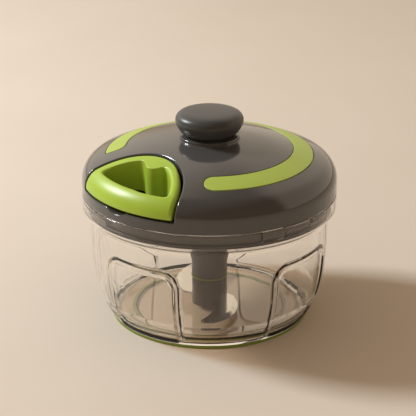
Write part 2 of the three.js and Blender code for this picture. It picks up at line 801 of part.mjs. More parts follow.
function tube(points, radius, sides, steps) {
  const section = new THREE.Shape(Array.from({ length: sides }, (_, i) => polar(radius, i * 360 / sides)));
  const options = { steps, bevelEnabled: false, extrudePath: new Route(points) };
  return closed(new THREE.ExtrudeGeometry(section, options));
}

function cordRoute() {
  const bendRadius = guideNear - fitGap;
  const leaveAngle = 270 - THREE.MathUtils.radToDeg(Math.acos(windingRadius / bendRadius));
  const points = [];
  const straight = cordRadius * 2;
  const startAngle = leaveAngle - cordLoops * 360;
  const first = polar(windingRadius, startAngle);
  const away = polar(straight, startAngle - 90);
  points.push(new THREE.Vector3(first.x + away.x, first.y + away.y, cordHeight - cordLoops * cordPitch));
  for (let i = 0; i <= cordLoops * stepsPerLoop; i += 1) {
    const place = polar(windingRadius, startAngle + i * 360 / stepsPerLoop);
    points.push(new THREE.Vector3(place.x, place.y, cordHeight - cordPitch * (cordLoops - i / stepsPerLoop)));
  }
  const leave = polar(windingRadius, leaveAngle);
  const bend = new THREE.Vector2(0, -bendRadius);
  for (const share of cordStraightShares) {
    const place = leave.clone().lerp(bend, share);
    points.push(new THREE.Vector3(place.x, place.y, cordHeight));
  }
  points.push(new THREE.Vector3(-cordRadius / 4, -bendRadius + cordRadius / 4, cordHeight));
  points.push(new THREE.Vector3(0, -bendRadius - cordRadius, cordHeight));
  points.push(new THREE.Vector3(0, -pocketApexRadius - pressGap, cordHeight));
  return points;
}

// Least gap between stretches of the winding that lie more than half a loop apart along it
function leastGap(points) {
  let least = Infinity;
  for (let i = 0; i < points.length; i += 1) {
    for (let j = i + stepsPerLoop / 2; j < points.length; j += 1) {
      least = Math.min(least, points[i].distanceTo(points[j]) - cordRadius * 2);
    }
  }
  return least;
}

const cordPoints = cordRoute();
const measured = new Route(cordPoints).getSpacedPoints(cordPoints.length * 2);
console.log(`least gap of the winding to itself ${leastGap(measured).toFixed(2)} mm`);
add('pull_cord', tube(cordPoints, cordRadius, 6, cordPoints.length), cordColour, 0.8);

const tailStart = pocketApexRadius + pressGap + fitGap;
const tailEnd = ferruleBoreEnd - fitGap;
add('cord_tail', barTowardsHandle(cordRadius, tailStart, tailEnd, cordHeight, screwSteps), cordColour, 0.8);

add('cord_guide', turned([
  [cordRadius + fitGap, guideNear + guideFlangeLength],
  [cordRadius + fitGap + guideFlare, guideNear],
  [guideRadius + guideFlange, guideNear],
  [guideRadius + guideFlange, guideNear + guideFlangeLength],
  [guideRadius, guideNear + guideFlangeLength],
  [guideRadius, pocketApexRadius],
  [cordRadius + fitGap, pocketApexRadius],
], smallRoundSteps).rotateX(Math.PI / 2).translate(0, 0, cordHeight), 0xd8d5cc, 0.3);

// Spool: a drum between two flanges, with a hub that turns on the axle bolt and winds the spring
function makeSpool() {
  const drumRadius = windingRadius - cordRadius - fitGap;
  const boreRadius = axleRadius + runGap;
  const headRadius = boltHeadRadius + runGap;
  const headTop = boltHeadTop + runGap;
  let spool = solid(turned([
    [boreRadius, headTop],
    [headRadius, headTop],
    [headRadius, driveFlangeTop + driveSpigotHeight + fitGap],
    [driveSpigotRadius + fitGap, driveFlangeTop + driveSpigotHeight + fitGap],
    [driveSpigotRadius + fitGap, spoolBottom],
    [flangeRadius, spoolBottom],
    [flangeRadius, drumBottom],
    [drumRadius, drumBottom],
    [drumRadius, drumTop],
    [flangeRadius, drumTop],
    [flangeRadius, spoolTop],
    [spoolHubRadius, spoolTop],
    [spoolHubRadius, spoolTop + spoolHubHeight],
    [boreRadius, spoolTop + spoolHubHeight],
  ], midRoundSteps));
  for (let i = 0; i < driveScrewCount; i += 1) {
    const place = polar(driveScrewCircle, i * 360 / driveScrewCount);
    const holeTop = spoolBottom + driveScrewLength + fitGap;
    const hole = cylinder(driveScrewRadius + fitGap, spoolBottom - overrun, holeTop, screwSteps);
    spool = spool.subtract(solid(hole.translate(place.x, place.y, 0)));
  }
  return geometryOf(spool);
}

add('spool', makeSpool(), 0xdedad0, 0.5);

function makeDriveShaft() {
  const keyBottom = shaftTop - socketDepth + fitGap;
  let shaft = solid(turned([
    [0, bushBottom],
    [journalRadius, bushBottom],
    [journalRadius, driveFlangeBottom],
    [driveFlangeRadius, driveFlangeBottom],
    [driveFlangeRadius, driveFlangeTop],
    [driveSpigotRadius, driveFlangeTop],
    [driveSpigotRadius, driveFlangeTop + driveSpigotHeight],
    [0, driveFlangeTop + driveSpigotHeight],
  ], midRoundSteps));
  shaft = shaft.add(solid(cylinder(keyRadius, keyBottom, bushBottom + pressGap, 6)));
  for (let i = 0; i < driveScrewCount; i += 1) {
    const place = polar(driveScrewCircle, i * 360 / driveScrewCount);
    const hole = cylinder(driveScrewRadius + fitGap, driveFlangeBottom - overrun, driveFlangeTop + pressGap, screwSteps);
    shaft = shaft.subtract(solid(hole.translate(place.x, place.y, 0)));
  }
  return geometryOf(shaft);
}

add('drive_shaft', makeDriveShaft(), 0x55504a, 0.5);

for (let i = 0; i < driveScrewCount; i += 1) {
  const place = polar(driveScrewCircle, i * 360 / driveScrewCount);
  const headTop = driveFlangeBottom - pressGap;
  const screw = turned([
    [0, headTop - driveScrewHeadHeight],
    [driveScrewHeadRadius, headTop - driveScrewHeadHeight],
    [driveScrewHeadRadius, headTop],
    [driveScrewRadius, headTop],
    [driveScrewRadius, spoolBottom + driveScrewLength],
    [0, spoolBottom + driveScrewLength],
  ], screwSteps);
  add(`drive_screw_${i + 1}`, screw, steelColour, 0.35, 1, [place.x, place.y, 0]);
}

// Spring housing: an upturned cup under the crown, which the axle bolt holds against the cover
add('spring_housing', turned([
  [boltThreadRadius + fitGap, housingTop - housingWall],
  [housingRadius - housingWall, housingTop - housingWall],
  [housingRadius - housingWall, housingBottom],
  [housingRadius, housingBottom],
  [housingRadius, housingTop],
  [boltThreadRadius + fitGap, housingTop],
], midRoundSteps), 0x8d8880, 0.5);

// Flat spring that winds outwards at a steady rate from the spool's hub to the housing's wall
function makeSpring() {
  const steps = springTurns * springStepsPerTurn;
  const side = (offset) => Array.from({ length: steps + 1 }, (_, i) => {
    const radius = THREE.MathUtils.lerp(springInnerRadius, springOuterRadius, i / steps) + offset;
    return polar(radius, i * 360 / springStepsPerTurn);
  });
  const outline = [...side(springStripThickness / 2), ...side(-springStripThickness / 2).reverse()];
  const bottom = housingBottom + (housingDepth - springStripWidth) / 2;
  return prism(new THREE.Shape(outline), bottom, bottom + springStripWidth);
}

add('recoil_spring', makeSpring(), 0x8f9498, 0.3, 1);

const knobFoot = plinthTop + knobLift;
const knobBoltTop = knobFoot + boltThreadInKnob;
add('axle_bolt', turned([
  [0, boltHeadTop - boltHeadHeight],
  [boltHeadRadius, boltHeadTop - boltHeadHeight],
  [boltHeadRadius, boltHeadTop],
  [axleRadius, boltHeadTop],
  [axleRadius, housingTop - housingWall - pressGap],
  [boltThreadRadius, housingTop - housingWall - pressGap],
  [boltThreadRadius, knobBoltTop],
  [0, knobBoltTop],
], smallRoundSteps), steelColour, 0.3, 1);

// Knob: a squat mushroom, widest above its middle
const knobSide = knobRadiusShares.map((share, i) => [
  knobRadius * share,
  knobFoot + knobHeight * knobHeightShares[i],
]);
add('knob', turned([
  [boltThreadRadius + fitGap, knobFoot],
  ...knobSide,
  [0, knobFoot + knobHeight],
  [0, knobBoltTop + fitGap],
  [boltThreadRadius + fitGap, knobBoltTop + fitGap],
], midRoundSteps), 0x625d57, 0.35);

export default group;
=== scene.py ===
# Looks of a hand pulled food chopper: a clear bowl, a domed grey lid with a lime green pull handle
# in a pocket, and a blade unit on a tall shaft. Sizes are millimetres until a mesh is made, then
# metres. Angles are degrees, anticlockwise from +X as seen from above. The handle faces -Y.
import math

import bpy
import numpy as np
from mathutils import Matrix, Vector
from mathutils.geometry import delaunay_2d_cdt


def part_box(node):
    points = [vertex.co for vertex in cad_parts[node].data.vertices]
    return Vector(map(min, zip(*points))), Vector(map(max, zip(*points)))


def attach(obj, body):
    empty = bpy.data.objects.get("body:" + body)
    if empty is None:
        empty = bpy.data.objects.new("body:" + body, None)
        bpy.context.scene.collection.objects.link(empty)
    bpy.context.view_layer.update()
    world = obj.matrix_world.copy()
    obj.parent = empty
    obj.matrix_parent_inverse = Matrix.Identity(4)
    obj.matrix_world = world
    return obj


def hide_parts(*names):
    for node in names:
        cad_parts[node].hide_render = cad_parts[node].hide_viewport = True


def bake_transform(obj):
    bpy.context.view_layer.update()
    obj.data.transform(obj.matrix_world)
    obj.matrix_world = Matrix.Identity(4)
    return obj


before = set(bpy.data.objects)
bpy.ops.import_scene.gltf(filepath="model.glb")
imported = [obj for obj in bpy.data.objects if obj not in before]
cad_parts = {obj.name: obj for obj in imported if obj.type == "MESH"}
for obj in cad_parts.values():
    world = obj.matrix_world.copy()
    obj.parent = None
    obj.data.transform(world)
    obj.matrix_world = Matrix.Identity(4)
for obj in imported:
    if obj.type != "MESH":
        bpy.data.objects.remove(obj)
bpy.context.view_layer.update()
MM = 0.001


# Camera, table and studio light. The photograph looks down on the chopper from the right of its
# handle, and one broad warm lamp stands on the left, a little behind it.
def span(node):
    """Lowest and highest corner of a CAD node at rest, in millimetres."""
    return [np.array(corner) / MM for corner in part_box(node)]


def direction(azimuth, elevation):
    turn, rise = math.radians(azimuth), math.radians(elevation)
    return Vector((math.cos(rise) * math.cos(turn), math.cos(rise) * math.sin(turn), math.sin(rise)))


def linear(code):
    """An sRGB hex colour as the linear RGBA that shaders take."""
    parts = [int(code[i:i + 2], 16) / 255 for i in (1, 3, 5)]
    return [c / 12.92 if c <= 0.04045 else ((c + 0.055) / 1.055) ** 2.4 for c in parts] + [1]


def add_node(tree, kind, inputs=None, **settings):
    """Adds a node. An input is a value, the output of another node that feeds it, or another node,
    which then feeds it from its first output in use."""
    node = tree.nodes.new(kind)
    for name, value in settings.items():
        setattr(node, name, value)
    for name, value in (inputs or {}).items():
        if isinstance(value, bpy.types.Node):
            value = next(socket for socket in value.outputs if socket.enabled)
        if isinstance(value, bpy.types.NodeSocket):
            tree.links.new(value, node.inputs[name])
        else:
            node.inputs[name].default_value = value
    return node


def new_material(name):
    """A material with an empty node tree."""
    material = bpy.data.materials.new(name)
    material.use_nodes = True
    material.node_tree.nodes.clear()
    return material, material.node_tree


view_azimuth = 314.7
view_elevation = 21.85
view_distance = 0.875
view_height = 0.0554
camera = bpy.data.objects.new("camera", bpy.data.cameras.new("camera"))
camera.data.lens = 147.1
camera.data.sensor_width = 36
camera.data.shift_x = -0.0036
camera.data.clip_start = 0.02
towards = direction(view_azimuth, view_elevation)
camera.location = Vector((0, 0, view_height)) + towards * view_distance
camera.rotation_euler = towards.to_track_quat("Z", "Y").to_euler()
bpy.context.scene.collection.objects.link(camera)
bpy.context.scene.camera = camera
bpy.context.scene.view_settings.view_transform = "Standard"

plaster, tree = new_material("limewashed_plaster")
spots = add_node(tree, "ShaderNodeTexCoord")
cloud = add_node(tree, "ShaderNodeTexNoise", {"Vector": spots.outputs["Object"], "Scale": 9, "Detail": 4})
shade = add_node(tree, "ShaderNodeMix", {
    "Factor": cloud, "A": linear("#e0d3c2"), "B": linear("#e8dccc")}, data_type="RGBA")
skin = add_node(tree, "ShaderNodeBsdfPrincipled", {"Base Color": shade, "Roughness": 0.75})
add_node(tree, "ShaderNodeOutputMaterial", {"Surface": skin})
table_radius = 6
table_mesh = bpy.data.meshes.new("table")
table_corners = [direction(i * 360 / 64, 0) * table_radius for i in range(64)]
table_mesh.from_pydata(table_corners, [], [list(range(64))])
table_mesh.materials.append(plaster)
table = bpy.data.objects.new("table", table_mesh)
bpy.context.scene.collection.objects.link(table)


def add_lamp(name, azimuth, elevation, distance, width, power, colour):
    """A square lamp that looks at the chopper."""
    lamp = bpy.data.objects.new(name, bpy.data.lights.new(name, "AREA"))
    lamp.data.size = width
    lamp.data.energy = power
    lamp.data.color = linear(colour)[:3]
    towards = direction(azimuth, elevation)
    lamp.location = Vector((0, 0, view_height)) + towards * distance
    lamp.rotation_euler = towards.to_track_quat("Z", "Y").to_euler()
    lamp.visible_transmission = False
    bpy.context.scene.collection.objects.link(lamp)


add_lamp("window_lamp", 206, 38, 1.4, 0.3, 18.5, "#f4faff")

# The room: mirror and glass see a bright wall behind on the right, a brown one behind on the left, and
# a dim room in front. Glossy skins also see the lamp's glow on the left. The camera sees a pale wall.
room = bpy.data.worlds.new("room")
room.use_nodes = True
bpy.context.scene.world = room
tree = room.node_tree
tree.nodes.clear()
ray = add_node(tree, "ShaderNodeLightPath")
sight = add_node(tree, "ShaderNodeTexCoord")
walls = None
for azimuth, elevation, low, high, colour, glow in (
        (172, 5, 0.3, 0.7, "#a98a68", False), (80, 5, 0.48, 0.64, "#f0dfc8", False),
        (165, 30, 0.72, 0.96, "#fff0da", True)):
    side = add_node(tree, "ShaderNodeVectorMath", {
        0: sight.outputs["Generated"], 1: direction(azimuth, elevation)}, operation="DOT_PRODUCT")
    share = add_node(tree, "ShaderNodeMapRange", {
        "Value": side, "From Min": low, "From Max": high,
        "To Max": ray.outputs["Is Glossy Ray"] if glow else 1}, interpolation_type="SMOOTHSTEP")
    walls = add_node(tree, "ShaderNodeMix", {
        "Factor": share, "A": walls or linear("#66503c"),
        "B": linear(colour)}, data_type="RGBA")
camera_sees = add_node(tree, "ShaderNodeMix", {
    "Factor": ray.outputs["Is Camera Ray"], "A": walls, "B": linear("#e3d2bd")}, data_type="RGBA")
mirror = add_node(tree, "ShaderNodeMath", {
    0: ray.outputs["Is Glossy Ray"], 1: ray.outputs["Is Transmission Ray"]}, operation="MAXIMUM")
direct = add_node(tree, "ShaderNodeMath", {0: ray.outputs["Diffuse Depth"], 1: 0.5}, operation="LESS_THAN")
image = add_node(tree, "ShaderNodeMath", {0: mirror, 1: direct}, operation="MULTIPLY")
seen = add_node(tree, "ShaderNodeMath", {
    0: ray.outputs["Is Camera Ray"], 1: image}, operation="MAXIMUM")
fill = add_node(tree, "ShaderNodeBackground", {"Color": linear("#ffe3c6"), "Strength": 0.4})
view_of_walls = add_node(tree, "ShaderNodeBackground", {"Color": camera_sees, "Strength": 1.0})
either = add_node(tree, "ShaderNodeMixShader", {0: seen, 1: fill, 2: view_of_walls})
add_node(tree, "ShaderNodeOutputWorld", {"Surface": either})


# Bowl: one injection moulding of clear SAN plastic. Its wall fills out from the foot to a collar with
# three L shaped bayonet ribs inside, and four finger grips are pressed into it.
def face_normals(points, faces):
    """Normals of the points of a patch, each face weighted by its area."""
    normals = np.zeros_like(points)
    for face in faces:
        corners = points[face]
        area = np.cross(corners[2 % len(face)] - corners[0], corners[-1] - corners[1])
        if len(face) == 3:
            area = np.cross(corners[1] - corners[0], corners[2] - corners[0])
        normals[face] += area
    length = np.linalg.norm(normals, axis=1, keepdims=True)
    return normals / np.where(length > 0, length, 1)


def make_piece(name, patches, material):
    """An object from patches of (points, faces, normals), joined where their points meet. The shading
    runs smoothly through a patch, and breaks between two patches unless their normals agree."""
    places, faces, shading, index = [], [], [], {}
    for points, patch_faces, normals in patches:
        points = np.asarray(points, dtype=float)
        if normals is None:
            normals = face_normals(points, patch_faces)
        keys = [tuple(row) for row in np.round(points, 3) + 0.0]
        numbers = []
        for key, point in zip(keys, points):
            if key not in index:
                index[key] = len(places)
                places.append(point * MM)
            numbers.append(index[key])
        for face in patch_faces:
            corners = [(numbers[i], i) for i in face]
            kept = [pair for k, pair in enumerate(corners) if pair[0] != corners[k - 1][0]]
            if len({pair[0] for pair in kept}) == len(kept) > 2:
                faces.append([pair[0] for pair in kept])
                shading.extend(normals[pair[1]] for pair in kept)
    mesh = bpy.data.meshes.new(name)
    mesh.from_pydata(places, [], faces)
    mesh.shade_smooth()
    mesh.normals_split_custom_set([tuple(normal) for normal in shading])
    mesh.materials.append(material)
    obj = bpy.data.objects.new(name, mesh)
    bpy.context.scene.collection.objects.link(obj)
    return obj


def grid(points, closed_rows=False, closed_columns=True):
    """A patch from an array of rows by columns of points. Columns run anticlockwise, and the outside
    is on the right of a column that is read from its first row on."""
    rows, columns = points.shape[:2]
    faces = []
    for j in range(rows if closed_rows else rows - 1):
        for i in range(columns if closed_columns else columns - 1):
            below, above = j * columns, (j + 1) % rows * columns
            after = (i + 1) % columns
            faces.append([below + i, below + after, above + after, above + i])
    return points.reshape(-1, 3), faces, None


def rounded(corners, steps=5):
    """A section from corners of [radius, height, rounding], each corner turned into an arc."""
    section = []
    count = len(corners)
    for i, (radius, height, rounding) in enumerate(corners):
        here = np.array([radius, height], dtype=float)
        if not rounding:
            section.append(here)
            continue
        before = np.array(corners[i - 1][:2], dtype=float) - here
        after = np.array(corners[(i + 1) % count][:2], dtype=float) - here
        before /= np.linalg.norm(before)
        after /= np.linalg.norm(after)
        half = math.acos(np.clip(before @ after, -1, 1)) / 2
        reach = rounding / math.tan(half)
        centre = here + (before + after) / np.linalg.norm(before + after) * rounding / math.sin(half)
        first, last = here + before * reach - centre, here + after * reach - centre
        sweep = math.pi - 2 * half
        for k in range(steps + 1):
            share = k / steps
            weights = (
                math.sin((1 - share) * sweep) / math.sin(sweep), math.sin(share * sweep) / math.sin(sweep))
            section.append(centre + first * weights[0] + last * weights[1])
    return np.array(section)


def ramp(value, low, high):
    """0 below low, 1 above high, and a smooth step between."""
    share = np.clip((value - low) / (high - low), 0, 1)
    return share * share * (3 - 2 * share)


def graded(marks, coarse, fine, reach):
    """Values from the first mark to the last, fine near the marks between them and coarse elsewhere."""
    values = [marks[0]]
    while values[-1] < marks[-1]:
        near = min(abs(values[-1] + fine - mark) for mark in marks[1:-1])
        values.append(values[-1] + (fine if near < reach else min(coarse, max(fine, near - reach + fine))))
    return np.array(values[:-1] + [marks[-1]])


def lit_through(tree, clear, tint):
    """A clear shader that shadow rays and scattered light cross in a straight line, and tinted."""
    ray = add_node(tree, "ShaderNodeLightPath")
    straight = add_node(tree, "ShaderNodeMath", {
        0: ray.outputs["Is Shadow Ray"], 1: ray.outputs["Is Diffuse Ray"]}, operation="MAXIMUM")
    passed = add_node(tree, "ShaderNodeBsdfTransparent", {"Color": linear(tint)})
    return add_node(tree, "ShaderNodeMixShader", {0: straight, 1: clear, 2: passed})


bowl_low, bowl_high = span("bowl")
ring_high = span("base_ring")[1]
rim_height = bowl_high[2]
collar_radius = bowl_high[0]
collar_wall = 2
collar_inner = collar_radius - collar_wall
collar_depth = 7.6
collar_floor = 0.9
collar_bead = 1.1
wall = 2.4
wall_top_radius = collar_radius - 4.2
foot_radius = ring_high[0] - 1
ring_width = 12.3
floor_under = bowl_low[2]
floor_top = floor_under + 2
floor_corner = 11
wall_bottom = ring_high[2] + 0.1
shelf = rim_height - collar_depth
collar_bottom = shelf - collar_floor
grip_count = 4
grip_turn = 8.2
grip_half_angle = 19.3
grip_top = 41.2
grip_bottom = 3.4
grip_corner = 7
grip_depth = 1.3
grip_edge = 2.4
bayonet_count = 3
ledge_angles = (338.2, 350.2, 366.2)
ledge_heights = (60.9, 63.8, 66.2)
ledge_reach = 1.3
ledge_edge = 0.35
pin_radius = span("pivot_pin")[1][0]


def wall_radius(height):
    """The bowl wall's outside fills out from the foot towards the collar."""
    share = np.clip(height / collar_bottom, 0, 1)
    return wall_top_radius - (wall_top_radius - foot_radius) * (1 - share) ** 4


def into_grip(turn, height, grow):
    """How deep a point of the wall lies in a grip, from 0 outside it to 1 inside."""
    pitch = 360 / grip_count
    offset = (turn - grip_turn + pitch / 2) % pitch - pitch / 2
    radius = wall_radius(height)
    across = np.abs(offset) * math.pi / 180 * radius
    half = radius * math.radians(grip_half_angle) + grow
    corner = np.where(height > (grip_top + grip_bottom) / 2, grip_corner + grow, 1.5 + grow)
    middle = (grip_top + grip_bottom) / 2
    tall = (grip_top - grip_bottom) / 2 + grow
    side, end = across - half + corner, np.abs(height - middle) - tall + corner
    outside = (
        np.hypot(np.maximum(side, 0), np.maximum(end, 0)) + np.minimum(np.maximum(side, end), 0) - corner)
    return 1 - ramp(outside, -grip_edge / 2, grip_edge / 2)


def into_ledge(turn, height):
    """How far a point inside the collar stands out on a bayonet rib, from 0 to 1."""
    turn = (turn - ledge_angles[0] + 60) % (360 / bayonet_count) - 60 + ledge_angles[0]
    mask = 0
    for end, bottom in ((ledge_angles[2], ledge_heights[1]), (ledge_angles[1], ledge_heights[0])):
        along = np.minimum(turn - ledge_angles[0], end - turn) * math.pi / 180 * collar_inner
        up = np.minimum(height - bottom, ledge_heights[2] - height)
        mask = np.maximum(mask, ramp(np.minimum(along, up), -ledge_edge / 2, ledge_edge / 2))
    return mask


turn_marks = [0.0, 360.0]
for i in range(grip_count):
    for edge in (-grip_half_angle, grip_half_angle):
        centre = grip_turn + i * 360 / grip_count
        turn_marks.append((centre + edge) % 360)
for i in range(bayonet_count):
    turn_marks.extend((angle + i * 360 / bayonet_count) % 360 for angle in ledge_angles)
turn_marks.sort()
bowl_turns = graded(turn_marks, 2.4, 0.36, 1.4)[:-1]
more_turns = []
for i in range(grip_count):
    centre = grip_turn + i * 360 / grip_count
    for inside in np.arange(1.5, 8, 0.45):
        more_turns.extend([
            (centre - grip_half_angle + inside) % 360, (centre + grip_half_angle - inside) % 360])
    for beyond in np.arange(1.5, 4, 0.4):
        more_turns.extend([
            (centre - grip_half_angle - beyond) % 360, (centre + grip_half_angle + beyond) % 360])
bowl_turns = np.unique(np.round(np.concatenate([bowl_turns, more_turns]), 2))
bowl_turns = bowl_turns[np.concatenate([[True], np.diff(bowl_turns) > 0.12])]
grip_marks = [grip_bottom, grip_top - grip_corner, grip_top]
outer_heights = graded([wall_bottom, *grip_marks, collar_bottom], 3.2, 0.3, 2.2)
corner_radius = wall_radius(floor_top + floor_corner) - wall - floor_corner
inner_marks = [grip_bottom, grip_top - grip_corner, grip_top + wall]
inner_heights = graded(
    [floor_top + floor_corner, floor_top + floor_corner + 1, *inner_marks[1:], shelf], 3.2, 0.3, 2.6)
ledge_rows = graded([shelf + 0.4, *ledge_heights, rim_height - 0.3], 0.6, 0.12, 0.35)
outer = [(wall_radius(z), z, "outer") for z in outer_heights]
collar = rounded([
    [wall_top_radius, collar_bottom, 0],
    [collar_radius - collar_bead, collar_bottom, 0.35],
    [collar_radius - collar_bead, collar_bottom + 1, 0.2],
    [collar_radius, collar_bottom + 1, 0.35],
    [collar_radius, rim_height, 0.6],
    [collar_inner, rim_height, 0.3],
    [collar_inner, shelf, 0],
])[1:-1]
collar = [(r, z, "plain") for r, z in collar]
ledges = [(collar_inner, z, "ledge") for z in ledge_rows[::-1]]
shelf_rows = [(collar_inner - 0.1, shelf + 0.1, "plain"), (collar_inner - 0.4, shelf, "plain"),
              (wall_top_radius - wall + 0.3, shelf, "plain"), (wall_top_radius - wall, shelf - 0.3, "plain")]
inner = [(wall_radius(z) - wall, z, "inner") for z in inner_heights[-2::-1]]
corner = [(corner_radius + floor_corner * math.cos(a), floor_top + floor_corner * (1 - math.sin(a)), "inner")
          for a in np.linspace(0, math.pi / 2, 19)[1:]]
floor_rows = [(r, floor_top, "plain") for r in np.linspace(corner_radius, 7, 12)[1:]]
boss = rounded([
    [7, floor_top, 0], [4.6, floor_top, 0.5], [4.6, floor_top + 2, 0.4],
    [pin_radius + 0.1, floor_top + 2, 0], [pin_radius + 0.1, floor_under + 0.8, 0],
    [0, floor_under + 0.8, 0]])[1:]
foot_inner = ring_high[0] - ring_width - 0.3
under = rounded([[0, floor_under, 0], [12, floor_under, 0], [25, floor_under, 0],
                 [foot_inner, floor_under, 0.3], [foot_inner, wall_bottom, 0.2],
                 [foot_radius, wall_bottom, 0]])[:-1]
rows = [(r, z, "plain") for r, z in under] + outer[:-1] + collar + ledges + shelf_rows + inner + corner
rows += floor_rows + [(r, z, "plain") for r, z in boss]
radii = np.array([row[0] for row in rows])[:, None] + 0 * bowl_turns
heights = np.array([row[1] for row in rows])[:, None] + 0 * bowl_turns
turns = bowl_turns + 0 * radii
kinds = np.array([row[2] for row in rows])[:, None]
radii = radii - np.where(kinds == "outer", grip_depth * into_grip(turns, heights, 0), 0)
bulge = np.clip(radii - wall_radius(heights) + wall + grip_depth, 0, grip_depth)
radii = radii - np.where(kinds == "inner", bulge * into_grip(turns, heights, wall), 0)
radii = radii - np.where(kinds == "ledge", ledge_reach * into_ledge(turns, heights), 0)
around = np.radians(turns)
bowl_points = np.stack([radii * np.cos(around), radii * np.sin(around), heights], axis=-1)

clear_plastic, tree = new_material("clear_moulded_san")
# SAN moulded against a polished tool: water clear, with a faint warm tint along thick edges
glass = add_node(tree, "ShaderNodeBsdfPrincipled", {
    "Base Color": linear("#fdfcfa"), "Roughness": 0, "IOR": 1.5, "Transmission Weight": 1})
add_node(tree, "ShaderNodeOutputMaterial", {"Surface": lit_through(tree, glass, "#f1ebe4")})
bowl = make_piece("clear_bowl", [grid(bowl_points)], clear_plastic)
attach(bowl, "bowl")
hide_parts("bowl")


# Anti slip ring: green thermoplastic rubber that is pressed under the bowl's foot. It shows as a
# thin line below the bowl, and again through the floor.
def lathe(section, steps=128, centre=(0, 0), closed=True):
    """A patch from a section of [radius, height] rows, turned round an upright axis. The section runs
    up on its outside."""
    turns = np.arange(steps) * 2 * math.pi / steps
    section = np.asarray(section, dtype=float)
    x = centre[0] + section[:, :1] * np.cos(turns)
    y = centre[1] + section[:, :1] * np.sin(turns)
    z = section[:, 1:] + 0 * turns
    return grid(np.stack([x, y, z], axis=-1), closed_rows=closed)


def moulded(name, colour, roughness, grain=1.0, depth=0.02, coat=0.0, specular=0.5, shift=0.08):
    """A moulded plastic or rubber. The colour and gloss drift a little over the part, as flow in the
    tool leaves them, and the grain is the tool's texture, in millimetres."""
    material, tree = new_material(name)
    place = add_node(tree, "ShaderNodeTexCoord").outputs["Object"]
    drift = add_node(tree, "ShaderNodeTexNoise", {"Vector": place, "Scale": 1 / (18 * MM), "Detail": 3})
    dark = [c * (1 - shift) for c in linear(colour)[:3]] + [1]
    pale = [min(1, c * (1 + shift)) for c in linear(colour)[:3]] + [1]
    tint = add_node(tree, "ShaderNodeMix", {
        "Factor": drift, "A": dark, "B": pale}, data_type="RGBA")
    gloss = add_node(tree, "ShaderNodeMapRange", {
        "Value": drift, "To Min": roughness * 0.85, "To Max": roughness * 1.2})
    texture = add_node(tree, "ShaderNodeTexNoise", {
        "Vector": place, "Scale": 1 / (grain * MM), "Detail": 2, "Roughness": 0.6})
    bump = add_node(tree, "ShaderNodeBump", {
        "Height": texture, "Distance": depth * MM, "Strength": 1})
    skin = add_node(tree, "ShaderNodeBsdfPrincipled", {
        "Base Color": tint, "Roughness": gloss,
        "Normal": bump, "Coat Weight": coat, "Coat Roughness": 0.04,
        "Specular IOR Level": specular})
    add_node(tree, "ShaderNodeOutputMaterial", {"Surface": skin})
    return material


inner_lip = 1.3
outer_lip = 1.2
lip_fade = 0.3
green_rubber = moulded("green_moulded_tpe", "#7d9431", 0.5, 0.8, 0.02)
two_shot, tree = new_material("two_shot_green_and_clear_tpe")
# Green lips with a clear web between them, so that only two thin lines show through the floor
place = add_node(tree, "ShaderNodeTexCoord").outputs["Object"]
flat_place = add_node(tree, "ShaderNodeVectorMath", {0: place, 1: (1, 1, 0)}, operation="MULTIPLY")
reach = add_node(tree, "ShaderNodeVectorMath", {0: flat_place}, operation="LENGTH")
web_start = ring_high[0] - ring_width + inner_lip
web_end = ring_high[0] - outer_lip
past_inner = add_node(tree, "ShaderNodeMapRange", {
    "Value": reach, "From Min": web_start * MM, "From Max": (web_start + lip_fade) * MM})
past_outer = add_node(tree, "ShaderNodeMapRange", {
    "Value": reach, "From Min": (web_end - lip_fade) * MM, "From Max": web_end * MM})
web = add_node(tree, "ShaderNodeMath", {
    0: past_inner, 1: past_outer}, operation="SUBTRACT")
grain = add_node(tree, "ShaderNodeTexNoise", {"Vector": place, "Scale": 1 / (0.8 * MM), "Detail": 2})
bump = add_node(tree, "ShaderNodeBump", {"Height": grain, "Distance": 0.02 * MM, "Strength": 1})
lips = add_node(tree, "ShaderNodeBsdfPrincipled", {
    "Base Color": linear("#7d9431"), "Roughness": 0.5, "Normal": bump})
clear = add_node(tree, "ShaderNodeBsdfPrincipled", {
    "Base Color": linear("#fbf8f2"), "Roughness": 0, "IOR": 1.33, "Transmission Weight": 1})
skin = add_node(tree, "ShaderNodeMixShader", {0: web, 1: lips, 2: lit_through(tree, clear, "#faf6f0")})
add_node(tree, "ShaderNodeOutputMaterial", {"Surface": skin})
ring_section = rounded([
    [ring_high[0] - ring_width, 0, 0.2], [ring_high[0], 0, 0.4],
    [ring_high[0], ring_high[2], 0.25], [ring_high[0] - ring_width, ring_high[2], 0.2]])
base_ring = make_piece("anti_slip_ring", [lathe(ring_section, 160)], two_shot)
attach(base_ring, "bowl")
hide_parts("base_ring")


# Pivot pin: a turned stainless steel pin, pressed into the boss in the bowl's floor. The blade unit
# drops over it and turns on it.
def metal(name, colour, roughness, grain=0.5, depth=0.004, stretch=(1, 1, 1)):
    """A bare metal. Fine marks of turning, rolling or polishing run along the way it was worked."""
    material, tree = new_material(name)
    place = add_node(tree, "ShaderNodeTexCoord").outputs["Object"]
    pulled = add_node(tree, "ShaderNodeMapping", {"Vector": place, "Scale": stretch})
    marks = add_node(tree, "ShaderNodeTexNoise", {
        "Vector": pulled, "Scale": 1 / (grain * MM), "Detail": 4})
    gloss = add_node(tree, "ShaderNodeMapRange", {
        "Value": marks, "To Min": roughness * 0.7, "To Max": roughness * 1.4})
    bump = add_node(tree, "ShaderNodeBump", {
        "Height": marks, "Distance": depth * MM, "Strength": 1})
    skin = add_node(tree, "ShaderNodeBsdfPrincipled", {
        "Base Color": linear(colour), "Metallic": 1, "Roughness": gloss,
        "Normal": bump})
    add_node(tree, "ShaderNodeOutputMaterial", {"Surface": skin})
    return material


